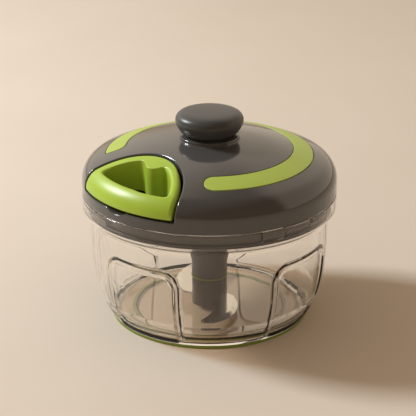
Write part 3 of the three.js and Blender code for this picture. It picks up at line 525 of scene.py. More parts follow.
turned_steel = metal("turned_stainless_steel", "#c6c3be", 0.22, 0.4, 0.004, (0.2, 0.2, 2))
pin_low, pin_high = span("pivot_pin")
pin_section = rounded([
    [0, pin_low[2], 0], [pin_radius, pin_low[2], 0.3], [pin_radius, pin_high[2], 1], [0, pin_high[2], 0]])
pin = make_piece("pivot_pin_turned", [lathe(pin_section, 40)], turned_steel)
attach(pin, "bowl")
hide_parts("pivot_pin")

# Blade shaft: a tall hollow sleeve of grey polypropylene with a hexagonal socket in its top, where
# the lid's drive key drops in.
shaft_low, shaft_high = span("blade_shaft")
shaft_radius = shaft_high[0]
socket_depth = 13
socket_corner = 5.5
shaft_grey = moulded("shaft_grey_polypropylene", "#564f49", 0.34, 0.7, 0.012)
side_section = rounded([
    [5.9, shaft_low[2], 0], [shaft_radius, shaft_low[2], 0.3], [shaft_radius, shaft_high[2], 0.7],
    [shaft_radius - 1.6, shaft_high[2], 0]])
hex_turns = np.arange(48) * 2 * math.pi / 48
one_hexagon = math.cos(math.pi / 6) / np.cos((hex_turns % (math.pi / 3)) - math.pi / 6)
hex_radius = socket_corner * one_hexagon
socket_rows = [
    (shaft_radius - 1.6 + 0 * hex_turns, shaft_high[2]),
    (hex_radius + 0.3, shaft_high[2]), (hex_radius + 0.08, shaft_high[2] - 0.1),
    (hex_radius, shaft_high[2] - 0.35), (hex_radius, shaft_high[2] - socket_depth),
    (0 * hex_turns, shaft_high[2] - socket_depth)]
socket = np.array([np.stack([r * np.cos(hex_turns), r * np.sin(hex_turns), z + 0 * r], axis=-1)
                   for r, z in socket_rows])
sleeve_inside = [[0, pin_high[2] + 0.35], [pin_radius + 0.35, pin_high[2] + 0.35],
                 [pin_radius + 0.35, shaft_low[2] + 4.5], [5.9, shaft_low[2] + 4.5], [5.9, shaft_low[2]]]
blade_shaft = make_piece("blade_shaft_sleeve", [
    lathe(side_section, 48, closed=False), grid(socket), lathe(sleeve_inside, 48, closed=False)], shaft_grey)
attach(blade_shaft, "blade_unit")
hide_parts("blade_shaft")

# Joint ring: a thin green rubber ring that is nipped between sleeve and hub, and seals the pin's
# bore.
joint_low, joint_high = span("joint_ring")
joint_section = rounded([
    [5.9, joint_low[2], 0], [joint_high[0], joint_low[2], 0.3],
    [joint_high[0], joint_high[2], 0.3], [5.9, joint_high[2], 0]])
joint_ring = make_piece("joint_ring_moulded", [lathe(joint_section, 64)], green_rubber)
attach(joint_ring, "blade_unit")
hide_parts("joint_ring")

# Blade hub: the glossier foot of the blade unit, a plastic moulding round the roots of both blades.
# It turns on the pivot pin.
hub_low, hub_high = span("blade_hub")
hub_top = joint_low[2] - 0.1
hub_grey = moulded("hub_grey_gloss", "#554f49", 0.16, 1.2, 0.006)
hub_section = rounded([
    [4.95, hub_low[2], 0.2], [shaft_radius, hub_low[2], 0.6], [shaft_radius, hub_top, 0.3],
    [5.6, hub_top, 0], [5.6, hub_high[2], 0.3], [pin_radius + 0.35, hub_high[2], 0],
    [pin_radius + 0.35, hub_low[2] + 2.1, 0], [4.95, hub_low[2] + 2.1, 0]])
hub = make_piece("blade_hub_moulded", [lathe(hub_section, 64)], hub_grey)
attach(hub, "blade_unit")
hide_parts("blade_hub")


# Blades: two crescents of mirror polished stainless strip. The outer, convex side is ground to an
# edge, and the root is a washer that the hub holds.
def bezier(*controls, count=24):
    """Points on a Bezier curve of any degree."""
    level = np.array(controls, dtype=float)[:, None, :]
    share = np.linspace(0, 1, count)[:, None]
    while len(level) > 1:
        level = level[:-1] * (1 - share) + level[1:] * share
    return level[0]


def resampled(loop, spacing):
    """A closed outline with its points set evenly along it, anticlockwise."""
    x, y = loop[:, 0], loop[:, 1]
    if np.sum(x * np.roll(y, -1) - np.roll(x, -1) * y) < 0:
        loop = loop[::-1]
    around = np.vstack([loop, loop[:1]])
    along = np.concatenate([[0], np.cumsum(np.linalg.norm(np.diff(around, axis=0), axis=1))])
    count = max(8, round(along[-1] / spacing))
    at = np.arange(count) * along[-1] / count
    return np.stack([np.interp(at, along, around[:, k]) for k in range(2)], axis=-1)


def softened(loop, rounding, spacing):
    """A closed outline with its corners rounded off, and its points set evenly."""
    fine = resampled(loop, 0.2)
    reach = int(rounding / 0.2 * 3)
    weights = np.exp(-0.5 * (np.arange(-reach, reach + 1) * 0.2 / rounding) ** 2)
    weights /= weights.sum()
    smooth = sum(w * np.roll(fine, k - reach, axis=0) for k, w in enumerate(weights))
    return resampled(smooth, spacing)


def outward(loop):
    """Unit normals that point out of an anticlockwise outline."""
    along = np.roll(loop, -1, axis=0) - np.roll(loop, 1, axis=0)
    along /= np.linalg.norm(along, axis=1, keepdims=True)
    return np.stack([along[:, 1], -along[:, 0]], axis=-1)


def inside(points, loop):
    """Which points lie inside an outline."""
    result = np.zeros(len(points), dtype=bool)
    for a, b in zip(loop, np.roll(loop, -1, axis=0)):
        crosses = (a[1] > points[:, 1]) != (b[1] > points[:, 1])
        if crosses.any():
            at = a[0] + (points[:, 1] - a[1]) / (b[1] - a[1] if b[1] != a[1] else 1) * (b[0] - a[0])
            result ^= crosses & (points[:, 0] < at)
    return result


def gap(points, loop):
    """Distance of each point to the nearest corner of an outline."""
    result = np.full(len(points), np.inf)
    for a in loop:
        result = np.minimum(result, np.hypot(points[:, 0] - a[0], points[:, 1] - a[1]))
    return result


def filled(loops, keep, extra=None):
    """Triangles between outlines. Keep says which triangle centres belong to the patch."""
    points = np.vstack(list(loops) + ([extra] if extra is not None and len(extra) else []))
    edges, start = [], 0
    for loop in loops:
        edges += [(start + i, start + (i + 1) % len(loop)) for i in range(len(loop))]
        start += len(loop)
    done = delaunay_2d_cdt([Vector(p) for p in points], edges, [], 0, 1e-5, True)
    origin = [ids[0] if ids else -1 for ids in done[3]]
    triangles = np.array([[origin[i] for i in face] for face in done[2] if min(origin[i] for i in face) >= 0])
    triangles = triangles[keep(points[triangles].mean(axis=1))]
    a, b, c = (points[triangles[:, k]] for k in range(3))
    turn = (b[:, 0] - a[:, 0]) * (c[:, 1] - a[:, 1]) - (b[:, 1] - a[:, 1]) * (c[:, 0] - a[:, 0])
    triangles[turn < 0] = triangles[turn < 0][:, ::-1]
    return points, triangles.tolist()


def band_between(lower, upper):
    """A patch of quads between two closed rows of points, with its outside on the right."""
    return grid(np.stack([lower, upper]))


def lifted(points, height):
    return np.column_stack([points, height + 0 * points[:, 0]])


blade_root = 7.2
blade_hole = 4.1
ground_width = 2.6
back_width = 0.15
blade_thickness = 1.2
rise_power = 1.2
polished_steel = metal("mirror_polished_stainless", "#e4e0da", 0.12, 1.5, 0.002, (1, 1, 1))
blade_shape = np.vstack([
    bezier((-0.02, -0.12), (0.14, -0.42), (0.1, -0.68), (-0.16, -0.96), count=60),
    bezier((-0.16, -0.96), (-0.08, -1.01), (0.02, -1), count=12)[1:],
    bezier((0.02, -1), (0.27, -0.94), (0.49, -0.6), (0.44, -0.2), count=60)[1:],
    bezier((0.44, -0.2), (0.42, 0.02), (0.14, 0.1), count=16)[1:]])
for name, lead, rise, reach in (
        ("blade_lower", 315.2, 0.0, 32.5), ("blade_upper", 135.2, 1.0, 40.0)):
    wing = softened(blade_shape * reach, 0.35, 0.5)
    wing_out = outward(wing)
    convex = ramp(wing_out @ np.array([0.8, -0.6]), 0.1, 0.6) * ramp(-wing[:, 1], 2, 9)
    bevel = back_width + (ground_width - back_width) * convex
    wing_top = wing - wing_out * bevel[:, None]
    bottom = span(name)[0][2]
    top = bottom + blade_thickness
    edge = lifted(wing, bottom + 0.25)
    upper = filled([wing_top], lambda centres: inside(centres, wing_top))
    lower = filled([wing], lambda centres: inside(centres, wing))
    washer = lathe(rounded([
        [blade_hole, bottom, 0], [blade_root, bottom, 0.2], [blade_root, top, 0.2],
        [blade_hole, top, 0]]), 48)
    patches = [
        (lifted(upper[0], top), upper[1], None),
        (lifted(lower[0], bottom), [face[::-1] for face in lower[1]], None),
        band_between(edge, lifted(wing_top, top)),
        band_between(lifted(wing, bottom), edge), washer]
    blade = make_piece(name + "_polished", patches, polished_steel)
    turn = math.radians(lead - 270)
    for vertex in blade.data.vertices:
        x, y, z = vertex.co
        out = max(0, math.hypot(x, y) / MM - shaft_radius) / (reach - shaft_radius)
        z += rise * out ** rise_power * MM
        vertex.co = (x * math.cos(turn) - y * math.sin(turn), x * math.sin(turn) + y * math.cos(turn), z)
    blade.data.update()
    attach(blade, "blade_unit")
    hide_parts(name)

# Seal: a silicone ring with two lips that lies on the shelf inside the collar, and that the lid
# presses on.
seal_low, seal_high = span("seal_ring")
silicone = moulded("seal_silicone", "#38322d", 0.4, 0.8, 0.01)
seal_inner = wall_top_radius - wall + 0.5
seal_section = rounded([
    [seal_inner, seal_low[2], 0.3], [seal_high[0], seal_low[2], 0.3], [seal_high[0], seal_high[2], 0.4],
    [seal_high[0] - 1, seal_high[2], 0.3], [seal_high[0] - 1.4, seal_high[2] - 0.5, 0.2],
    [seal_inner + 1.4, seal_high[2] - 0.5, 0.2], [seal_inner + 1, seal_high[2], 0.3],
    [seal_inner, seal_high[2], 0.4]])
seal = make_piece("seal_ring_moulded", [lathe(seal_section, 128)], silicone)
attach(seal, "seal")
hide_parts("seal_ring")

# Lid base: a satin grey ABS plate with a skirt that stands in the collar. Three lugs on the skirt
# turn in under the bowl's bayonet ribs.
base_low, base_high = span("lid_base")
skirt_radius = collar_inner - 1.9
lug_reach = base_high[0] - skirt_radius
cover_wall = 2.4
lug_start = 367.2
lug_sweep = 14
lug_height = 2.6
lug_edge = 0.4
shaft_hole = 8.3
base_grey = moulded("lid_base_grey_abs", "#4b4641", 0.3, 0.9, 0.012)
lug_marks = sorted((lug_start + i * 120 + end) % 360 for i in range(3) for end in (0, lug_sweep))
base_turns = graded([0, *lug_marks, 360], 2.5, 0.25, 1)[:-1]
base_section = rounded([
    [shaft_hole, base_low[2], 0.2], [skirt_radius, base_low[2], 0.5], [skirt_radius, rim_height + 0.3, 0.3],
    [collar_radius - cover_wall - 0.3, rim_height + 0.7, 0.2],
    [collar_radius - cover_wall - 0.3, base_high[2] - 0.2, 0.2], [skirt_radius - 2, base_high[2], 0.2],
    [skirt_radius - 2, base_low[2] + 2, 0.3], [shaft_hole, base_low[2] + 2, 0.2]])
lug_rows = [[skirt_radius, z] for z in np.arange(base_low[2] + 0.55, rim_height - 1, 0.2)]
split = max(
    i for i, p in enumerate(base_section) if p[0] > skirt_radius - 0.01 and p[1] <= base_low[2] + 0.51) + 1
base_section = np.vstack([base_section[:split], lug_rows, base_section[split:]])
turned_to = (base_turns - lug_start + 60) % 120 - 60
along = np.minimum(turned_to, lug_sweep - turned_to) * math.pi / 180 * skirt_radius
on_lug = ramp(along, -lug_edge / 2, lug_edge / 2)
base_radii = base_section[:, :1] + 0 * base_turns
on_skirt = (
    (base_section[:, :1] > skirt_radius - 0.6) & (base_section[:, 1:] < base_low[2] + lug_height + lug_edge))
up_lug = 1 - ramp(base_section[:, 1:], base_low[2] + lug_height - lug_edge, base_low[2] + lug_height)
base_radii = base_radii + np.where(on_skirt, lug_reach * on_lug * up_lug, 0)
base_around = np.radians(base_turns)
base_points = np.stack([base_radii * np.cos(base_around), base_radii * np.sin(base_around),
                        base_section[:, 1:] + 0 * base_radii], axis=-1)
lid_base = make_piece("lid_base_moulded", [grid(base_points, closed_rows=True)], base_grey)
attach(lid_base, "lid")
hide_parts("lid_base")


# Top cover: the glossy dome. It is one ABS moulding with a plinth for the knob, a groove for the
# green band, and a pocket with a finger notch for the pull handle.
crown_sphere = 152
shoulder_round = 11
plinth_radius = 15.6
plinth_height = 0.9
cover_high = span("top_cover")[1]
seam = rim_height + 0.4
crown_height = cover_high[2] - plinth_height
crown_centre = crown_height - crown_sphere
shoulder_radius = collar_radius - shoulder_round
shoulder_centre = crown_centre + math.sqrt((crown_sphere - shoulder_round) ** 2 - shoulder_radius ** 2)
join_tilt = math.atan2(shoulder_radius, shoulder_centre - crown_centre)
crown_length = crown_sphere * join_tilt
upright_length = crown_length + shoulder_round * (math.pi / 2 - join_tilt)


def on_dome(flat, inset):
    """Points of the lid's outside from a flat plan, in which the distance from the centre is the way
    along the surface. Returns the points, their normals and the downhill and sideways directions."""
    way = np.hypot(flat[:, 0], flat[:, 1])
    turn = np.arctan2(flat[:, 1], flat[:, 0])
    tilt = np.where(way < crown_length, way / crown_sphere,
                    np.minimum(join_tilt + (way - crown_length) / shoulder_round, math.pi / 2))
    ball = way < crown_length
    round_radius = np.where(ball, crown_sphere, shoulder_round) - inset
    radius = np.where(ball, 0, shoulder_radius) + round_radius * np.sin(tilt)
    height = np.where(ball, crown_centre, shoulder_centre) + round_radius * np.cos(tilt)
    height -= np.maximum(0, way - upright_length)
    outwards = np.column_stack([np.cos(turn), np.sin(turn), 0 * turn])
    up = np.array([0, 0, 1])
    normal = outwards * np.sin(tilt)[:, None] + up * np.cos(tilt)[:, None]
    downhill = outwards * np.cos(tilt)[:, None] - up * np.sin(tilt)[:, None]
    sideways = np.column_stack([-np.sin(turn), np.cos(turn), 0 * turn])
    return outwards * radius[:, None] + up * height[:, None], normal, downhill, sideways


def way_at(radius, inset):
    """The way along the surface at which it reaches a radius."""
    ball = np.arcsin(np.clip(radius / (crown_sphere - inset), -1, 1))
    turned = np.arcsin(np.clip((radius - shoulder_radius) / (shoulder_round - inset), -1, 1))
    return np.where(
        ball < join_tilt, ball * crown_sphere, crown_length + (turned - join_tilt) * shoulder_round)


def way_down_to(height, inset):
    """The way along the surface at which the shoulder or wall comes down to a height."""
    if height < shoulder_centre:
        return upright_length + shoulder_centre - height
    return crown_length + (
        math.acos((height - shoulder_centre) / (shoulder_round - inset)) - join_tilt) * shoulder_round


def flattened(plan, inset):
    """A plan outline, seen from above, carried over to the flat plan of the surface."""
    radius = np.hypot(plan[:, 0], plan[:, 1])
    return plan / radius[:, None] * way_at(radius, inset)[:, None]


def handle_curve(grow):
    """One half of the handle's plan outline from its middle to the lid's edge."""
    half, apex = handle_half + grow, grow - handle_apex
    side = -math.sqrt(collar_radius ** 2 - half ** 2)
    bend = apex + (side - apex) * 0.442
    return bezier((0, apex), (half * 0.44, apex), (half * 0.865, bend), (half, side), count=240)


def handle_loop(grow, inset, foot, rounding, spacing):
    """The outline of handle or pocket on the flat plan, closed by its foot along the lid's edge."""
    right = flattened(handle_curve(grow), inset)
    low = way_down_to(foot, inset)
    right = right[np.hypot(right[:, 0], right[:, 1]) < low]
    start = math.atan2(right[-1, 1], right[-1, 0])
    foot_turns = np.linspace(start, -math.pi - start, 120)
    foot_line = low * np.column_stack([np.cos(foot_turns), np.sin(foot_turns)])
    left = right[::-1] * [-1, 1]
    return softened(np.vstack([right, foot_line, left[:-1]]), rounding, spacing)


def eased(loop, side, rounding, steps=6):
    """Rows that roll an edge over: offset rows of a loop, each with the tilt of its normal. Side is 1
    where the material lies outside the loop, and -1 where it lies inside. The rounding may vary along
    the loop."""
    away = outward(loop) * side
    rounding = rounding + 0 * loop[:, 0]
    if not rounding.any():
        return [(loop, rounding, rounding, 0 * loop)]
    rows = []
    for tilt in np.linspace(math.pi / 2, 0, steps + 1):
        shift = rounding * (1 - math.sin(tilt))
        rows.append((loop + away * shift[:, None], rounding * (1 - math.cos(tilt)), tilt + 0 * shift, -away))
    return rows


def dome_patch(edges, inset, keep, spacing, reach, start=0.0):
    """A patch of the lid's outside between eased edges of (loop, side, rounding)."""
    loops, depth, tilt, aim = [], [], [], []
    for loop, side, rounding in edges:
        for row, deep, lean, way in eased(loop, side, rounding):
            loops.append(row)
            depth.append(deep)
            tilt.append(lean)
            aim.append(way)
    extra = []
    for ring in np.arange(start + spacing, reach, spacing):
        count = max(6, int(2 * math.pi * ring / spacing))
        at = (np.arange(count) + 0.5 * (round(ring / spacing) % 2)) * 2 * math.pi / count
        extra.append(ring * np.column_stack([np.cos(at), np.sin(at)]))
    extra = np.vstack(extra)
    free = keep(extra)
    for loop in loops:
        free &= gap(extra, loop) > spacing * 0.7
    extra = extra[free]
    flat, faces = filled(loops, keep, extra)
    pad = np.zeros(len(extra))
    depth, tilt = np.concatenate(depth + [pad]), np.concatenate(tilt + [pad])
    aim = np.vstack(aim + [np.zeros((len(extra), 2))])
    surface, normal, downhill, sideways = on_dome(flat, inset)
    out = flat / np.maximum(np.hypot(flat[:, 0], flat[:, 1]), 1e-9)[:, None]
    along = (aim * out).sum(axis=1)
    across = aim[:, 1] * out[:, 0] - aim[:, 0] * out[:, 1]
    edgewise = downhill * along[:, None] + sideways * across[:, None]
    shading = normal * np.cos(tilt)[:, None] + edgewise * np.sin(tilt)[:, None]
    return surface - normal * depth[:, None], faces, shading


def edge_of(loop, inset, rounding):
    """The lowest row of an eased edge."""
    surface, normal = on_dome(loop, inset)[:2]
    return surface - normal * (rounding + 0 * loop[:, 0])[:, None]


handle_low, handle_high = span("pull_handle")
handle_apex = -handle_high[1]
handle_half = 30.8
pocket_gap = 1.3
pocket_floor = handle_low[2] - 1.1
pocket_edge = 0.9
pocket_lip = 0.4
pocket_wall = 1.8
pocket_base = pocket_floor - 3.3
notch_half = 6.5
notch_depth = 1.8
band_outer = collar_radius - 12.2
band_inner = band_outer - 10
band_start = -42.6
band_end = 226.2
groove_gap = 0.35
groove_depth = 1.8
groove_edge = 0.25


def band_loop(grow, inset, spacing):
    """The outline of the band on the flat plan: a round end in front, and a cut end at the pocket."""
    inner, outer = band_inner - grow, band_outer + grow
    middle, width = (inner + outer) / 2, (outer - inner) / 2
    end = band_end + math.degrees(grow / middle)

    def spot(radius, angle):
        return np.array([radius * math.cos(math.radians(angle)), radius * math.sin(math.radians(angle))])

    outer_arc = [spot(outer, a) for a in np.linspace(band_start, end - 2, 200)]
    corner = bezier(spot(outer, end - 2), spot(outer, end), spot(outer - 1.6, end), count=8)
    sweep = bezier(spot(inner + 4.6, end), spot(inner, end), spot(inner, end - 9), count=16)
    inner_arc = [spot(inner, a) for a in np.linspace(end - 9, band_start, 200)]
    cap = [spot(middle, band_start) + spot(width, band_start + a) for a in np.linspace(180, 360, 24)]
    plan = np.vstack([outer_arc, corner, sweep, inner_arc, cap])
    return softened(flattened(plan, inset), 0.35, spacing)


lid_grey = moulded("lid_grey_gloss_abs", "#4d4c4b", 0.12, 3.0, 0.004, coat=0.35, shift=0.04)
opening = handle_loop(pocket_gap, 0, foot=pocket_floor, rounding=0.6, spacing=0.7)
below = np.hypot(opening[:, 0], opening[:, 1])
across = collar_radius * np.cos(np.arctan2(opening[:, 1], opening[:, 0]))
notch_round = (notch_half ** 2 + notch_depth ** 2) / (2 * notch_depth)
dip = np.maximum(0, notch_depth - notch_round + np.sqrt(np.maximum(0, notch_round ** 2 - across ** 2)))
on_foot = (below > way_down_to(pocket_floor, 0) - 0.3) & (opening[:, 1] < 0)
opening = softened(opening * (1 + np.where(on_foot, dip, 0) / below)[:, None], 0.3, 0.6)
groove = band_loop(groove_gap, inset=0, spacing=0.7)
plinth_start = plinth_radius + 0.8
foot_way = way_down_to(seam + 0.4, 0)
rim_turns = np.arange(240) * 2 * math.pi / 240
circle = np.column_stack([np.cos(rim_turns), np.sin(rim_turns)])


def on_cover(centres):
    way = np.hypot(centres[:, 0], centres[:, 1])
    return (way > plinth_start) & (way < foot_way) & ~inside(centres, opening) & ~inside(centres, groove)


opening_edge = pocket_edge - (pocket_edge - pocket_lip) * ramp(
    np.hypot(opening[:, 0], opening[:, 1]),
    way_down_to(pocket_floor, 0) - 3, way_down_to(pocket_floor, 0) - 1)
outer_skin = dome_patch([
    (opening, 1, opening_edge), (groove, 1, groove_edge),
    (circle * plinth_start, 1, 0), (circle * foot_way, -1, 0)],
    0, on_cover, 1.9, foot_way - 0.8, plinth_start)
groove_top = edge_of(groove, 0, groove_edge)
groove_bottom = on_dome(groove, groove_depth)[0]
groove_floor = dome_patch(
    [(groove, -1, 0)], groove_depth, lambda centres: inside(centres, groove), 2.5, foot_way)
pocket_top = edge_of(opening, 0, opening_edge)
pocket_foot = np.column_stack([pocket_top[:, :2], np.minimum(pocket_top[:, 2], pocket_floor)])
floor_edge = pocket_foot[:, :2]
floor_spots = np.array([(x, y) for x in np.arange(-34, 35, 1.6) for y in np.arange(-64, -30, 1.6)])
floor_spots = floor_spots[inside(floor_spots, floor_edge) & (gap(floor_spots, floor_edge) > 1)]
floor_flat, floor_faces = filled([floor_edge], lambda centres: inside(centres, floor_edge), floor_spots)
scoop = np.maximum(
    0, notch_depth - notch_round + np.sqrt(np.maximum(0, notch_round ** 2 - floor_flat[:, 0] ** 2)))
scoop = scoop * np.clip((-floor_flat[:, 1] - collar_radius + 8) / 7, 0, 1)
floor_height = pocket_floor - scoop
floor_height[:len(floor_edge)] = pocket_foot[:, 2]
plinth_section = rounded([
    [2.3, crown_height + plinth_height, 0], [plinth_radius, crown_height + plinth_height, 0.5],
    [plinth_radius, on_dome(np.array([[plinth_radius, 0.0]]), 0)[0][0, 2], 0.5],
    [on_dome(np.array([[plinth_start, 0.0]]), 0)[0][0, 0],
     on_dome(np.array([[plinth_start, 0.0]]), 0)[0][0, 2], 0]])
foot_section = rounded([
    [collar_radius - cover_wall, seam + 1, 0], [collar_radius - cover_wall, seam, 0.2],
    [collar_radius, seam, 0.35],
    [collar_radius, seam + 0.4, 0]])
bolt_hole = 2.3
inner_start = bolt_hole + 1.5
inner_foot = way_down_to(seam + 1, 0)
shell = handle_loop(pocket_gap + pocket_wall, cover_wall, foot=pocket_base, rounding=0.6, spacing=1.2)


def in_cover(centres):
    way = np.hypot(centres[:, 0], centres[:, 1])
    return (way > inner_start) & (way < inner_foot) & ~inside(centres, shell)


inner_skin = dome_patch([
    (shell, 1, 0), (circle * inner_start, 1, 0), (circle * inner_foot, -1, 0)],
    cover_wall, in_cover, 5, inner_foot - 1, inner_start)
shell_top = on_dome(shell, cover_wall)[0]
shell_foot = np.column_stack([shell_top[:, :2], pocket_base + 0 * shell_top[:, 0]])
shell_flat, shell_faces = filled([shell_foot[:, :2]], lambda centres: inside(centres, shell_foot[:, :2]))
neck_start = on_dome(np.array([[inner_start, 0.0]]), cover_wall)[0][0]
neck_section = [
    [neck_start[0], neck_start[2]], [bolt_hole, neck_start[2]], [bolt_hole, crown_height + plinth_height]]
cover = make_piece("top_cover_moulded", [
    outer_skin, groove_floor,
    band_between(groove_bottom, groove_top)[:1]
    + ([f[::-1] for f in band_between(groove_bottom, groove_top)[1]], None),
    (np.vstack([pocket_foot, pocket_top]), [f[::-1] for f in band_between(pocket_foot, pocket_top)[1]], None),
    (lifted(floor_flat, 0) + np.column_stack([0 * floor_flat, floor_height]), floor_faces, None),
    lathe(plinth_section[::-1], 240, closed=False), lathe(foot_section, 240, closed=False),
    (inner_skin[0], [face[::-1] for face in inner_skin[1]], -inner_skin[2]),
    band_between(shell_foot, shell_top),
    (lifted(shell_flat, pocket_base), [face[::-1] for face in shell_faces], None),
    lathe(neck_section, 240, closed=False)], lid_grey)
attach(cover, "lid")
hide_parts("top_cover")

# Accent band: a strip of lime green ABS with a fine matt grain. It snaps into the groove of the top
# cover and stands a hair proud of the crown.
band_proud = 0.1
band_thickness = 1.5
band_edge = 0.3
band_green = moulded("band_green_matt_abs", "#b4cb57", 0.4, 0.9, 0.02)
band_line = band_loop(0, inset=0, spacing=0.7)
band_top = dome_patch(
    [(band_line, -1, band_edge)], -band_proud, lambda centres: inside(centres, band_line), 1.9, foot_way)
band_under = dome_patch(
    [(band_line, -1, 0)], band_thickness, lambda centres: inside(centres, band_line), 2.5, foot_way)
band_side = band_between(on_dome(band_line, band_thickness)[0], edge_of(band_line, -band_proud, band_edge))
accent_band = make_piece("accent_band_moulded", [
    band_top, band_side, (band_under[0], [face[::-1] for face in band_under[1]], -band_under[2])], band_green)
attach(accent_band, "lid")
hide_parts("accent_band")

# Pull handle: a lime green ring for two fingers, in satin ABS. Its outside carries the lid's shape
# on, and a round boss inside it holds the crimped end of the cord.
handle_flush = 0.2
frame_width = 4.7
side_width = 0.3
rim_width = 7.5
boss_distance = handle_apex + 4.7
boss_radius = 5.6
boss_fillet = 5
boss_fillet_right = 2.4
handle_edge = 2.2
handle_lip = 0.6
finger_edge = 2.8
near_edge = 1.8
far_edge = 0.4
handle_foot = handle_low[2]
rim_blend = 1.6
side_change = (6, 12)
fillet_change = (-3, 2)
edge_change = (8, 22)
hole_centre = np.array([0, -50])
ray_steps = np.arange(0.5, 34, 0.05)[:, None]
handle_green = moulded("handle_green_satin_abs", "#a8c63c", 0.36, 1.0, 0.01)


def smoothly(a, b, blend, sign):
    """The larger (sign 1) or smaller (sign -1) of two fields, with a rounded change between them."""
    mix = np.maximum(blend - np.abs(a - b), 0)
    return (np.maximum(a, b) if sign > 0 else np.minimum(a, b)) + sign * mix * mix / (4 * blend)


hole_curve = handle_curve(-frame_width)
hole_plan = np.vstack([
    hole_curve, hole_curve[-1:] * 1.1, hole_curve[::-1][:1] * [-1.1, 1.1], hole_curve[::-1] * [-1, 1]])
rays = []
for angle in np.linspace(0, 2 * math.pi, 1440, endpoint=False):
    path = hole_centre + ray_steps * np.array([math.cos(angle), math.sin(angle)])
    frame_gap = gap(path, hole_plan) * np.where(inside(path, hole_plan), -1, 1)
    frame_gap += side_width * ramp(path[:, 0], *side_change)
    field = smoothly(frame_gap, np.hypot(path[:, 0], path[:, 1]) - (collar_radius - rim_width), rim_blend, 1)
    fillet = boss_fillet + (boss_fillet_right - boss_fillet) * ramp(path[:, 0], *fillet_change)
    field = smoothly(field, boss_radius - np.hypot(path[:, 0], path[:, 1] + boss_distance), fillet, 1)
    rays.append(path[np.argmax(field > 0)])
hole_line = softened(flattened(np.array(rays), handle_flush), 0.5, 0.6)
handle_line = handle_loop(0, handle_flush, foot=handle_foot + 0.02, rounding=1.3, spacing=0.8)


def on_handle(centres):
    return inside(centres, handle_line) & ~inside(centres, hole_line)


above_foot = 1 - ramp(
    np.hypot(handle_line[:, 0], handle_line[:, 1]),
    way_down_to(handle_foot, 0) - 4, way_down_to(handle_foot, 0) - 0.5)
outer_edge = handle_lip + (handle_edge - handle_lip) * above_foot * ramp(handle_line[:, 0], *edge_change)
hole_edge = far_edge + (near_edge - far_edge) * ramp(-hole_line[:, 1], 47, 54)
hole_edge += (finger_edge - hole_edge) * ramp(hole_line[:, 0], 5, 10)
handle_top = dome_patch([
    (handle_line, -1, outer_edge), (hole_line, 1, hole_edge)], handle_flush, on_handle, 1.0, foot_way)
outer_row = edge_of(handle_line, handle_flush, outer_edge)
hole_row = edge_of(hole_line, handle_flush, hole_edge)
outer_foot = np.column_stack([outer_row[:, :2], handle_foot + 0 * outer_row[:, 0]])
outer_row[:, 2] = np.maximum(outer_row[:, 2], handle_foot)
hole_foot = np.column_stack([hole_row[:, :2], handle_foot + 0 * hole_row[:, 0]])
under_flat, under_faces = filled(
    [outer_foot[:, :2], hole_foot[:, :2]],
    lambda centres: inside(centres, outer_foot[:, :2]) & ~inside(centres, hole_foot[:, :2]))
hole_wall = band_between(hole_foot, hole_row)
pull_handle = make_piece("pull_handle_moulded", [
    handle_top, band_between(outer_foot, outer_row), (hole_wall[0], [f[::-1] for f in hole_wall[1]], None),
    (lifted(under_flat, handle_foot), [f[::-1] for f in under_faces], None)], handle_green)
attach(pull_handle, "handle")
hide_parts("pull_handle")

# Knob: a pebble of satin grey ABS on a short neck, moulded in one piece and screwed onto the axle
# bolt over the plinth.
knob_low, knob_high = span("knob")
knob_radius = knob_high[0]
knob_grey = moulded("knob_grey_satin_abs", "#484848", 0.33, 1.0, 0.01, specular=0.35)
knob_side = [
    (0.745, 0.02), (0.80, 0.07), (0.845, 0.13), (0.885, 0.22), (0.935, 0.33), (0.975, 0.44),
    (0.997, 0.55), (1.0, 0.62), (0.99, 0.70), (0.963, 0.78), (0.915, 0.855), (0.84, 0.915),
    (0.73, 0.953), (0.58, 0.976), (0.4, 0.99), (0.2, 0.998), (0, 1)]
knob_height = knob_high[2] - knob_low[2]
knob_curve = np.array([
    (0, 0), (0.5, 0), (0.72, 0), *knob_side]) * [knob_radius, knob_height] + [0, knob_low[2]]
fine = np.linspace(0, 1, 90)
steps_along = np.concatenate([[0], np.cumsum(np.linalg.norm(np.diff(knob_curve, axis=0), axis=1))])
knob_fine = np.column_stack([
    np.interp(fine * steps_along[-1], steps_along, knob_curve[:, k]) for k in range(2)])
for _ in range(6):
    knob_fine[1:-1] = (knob_fine[:-2] + 2 * knob_fine[1:-1] + knob_fine[2:]) / 4
knob = make_piece("knob_moulded", [lathe(knob_fine, 112, closed=False)], knob_grey)
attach(knob, "lid")
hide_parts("knob")

# Cover screws: three pan head steel screws that come up through the lid base into the cover's posts.
# Geometry Nodes sets one screw out on its circle.
screw_circle = 45
cross_reach = 1.6
cross_half = 0.32
cross_depth = 0.8
thread_pitch = 0.7
thread_root = 0.82


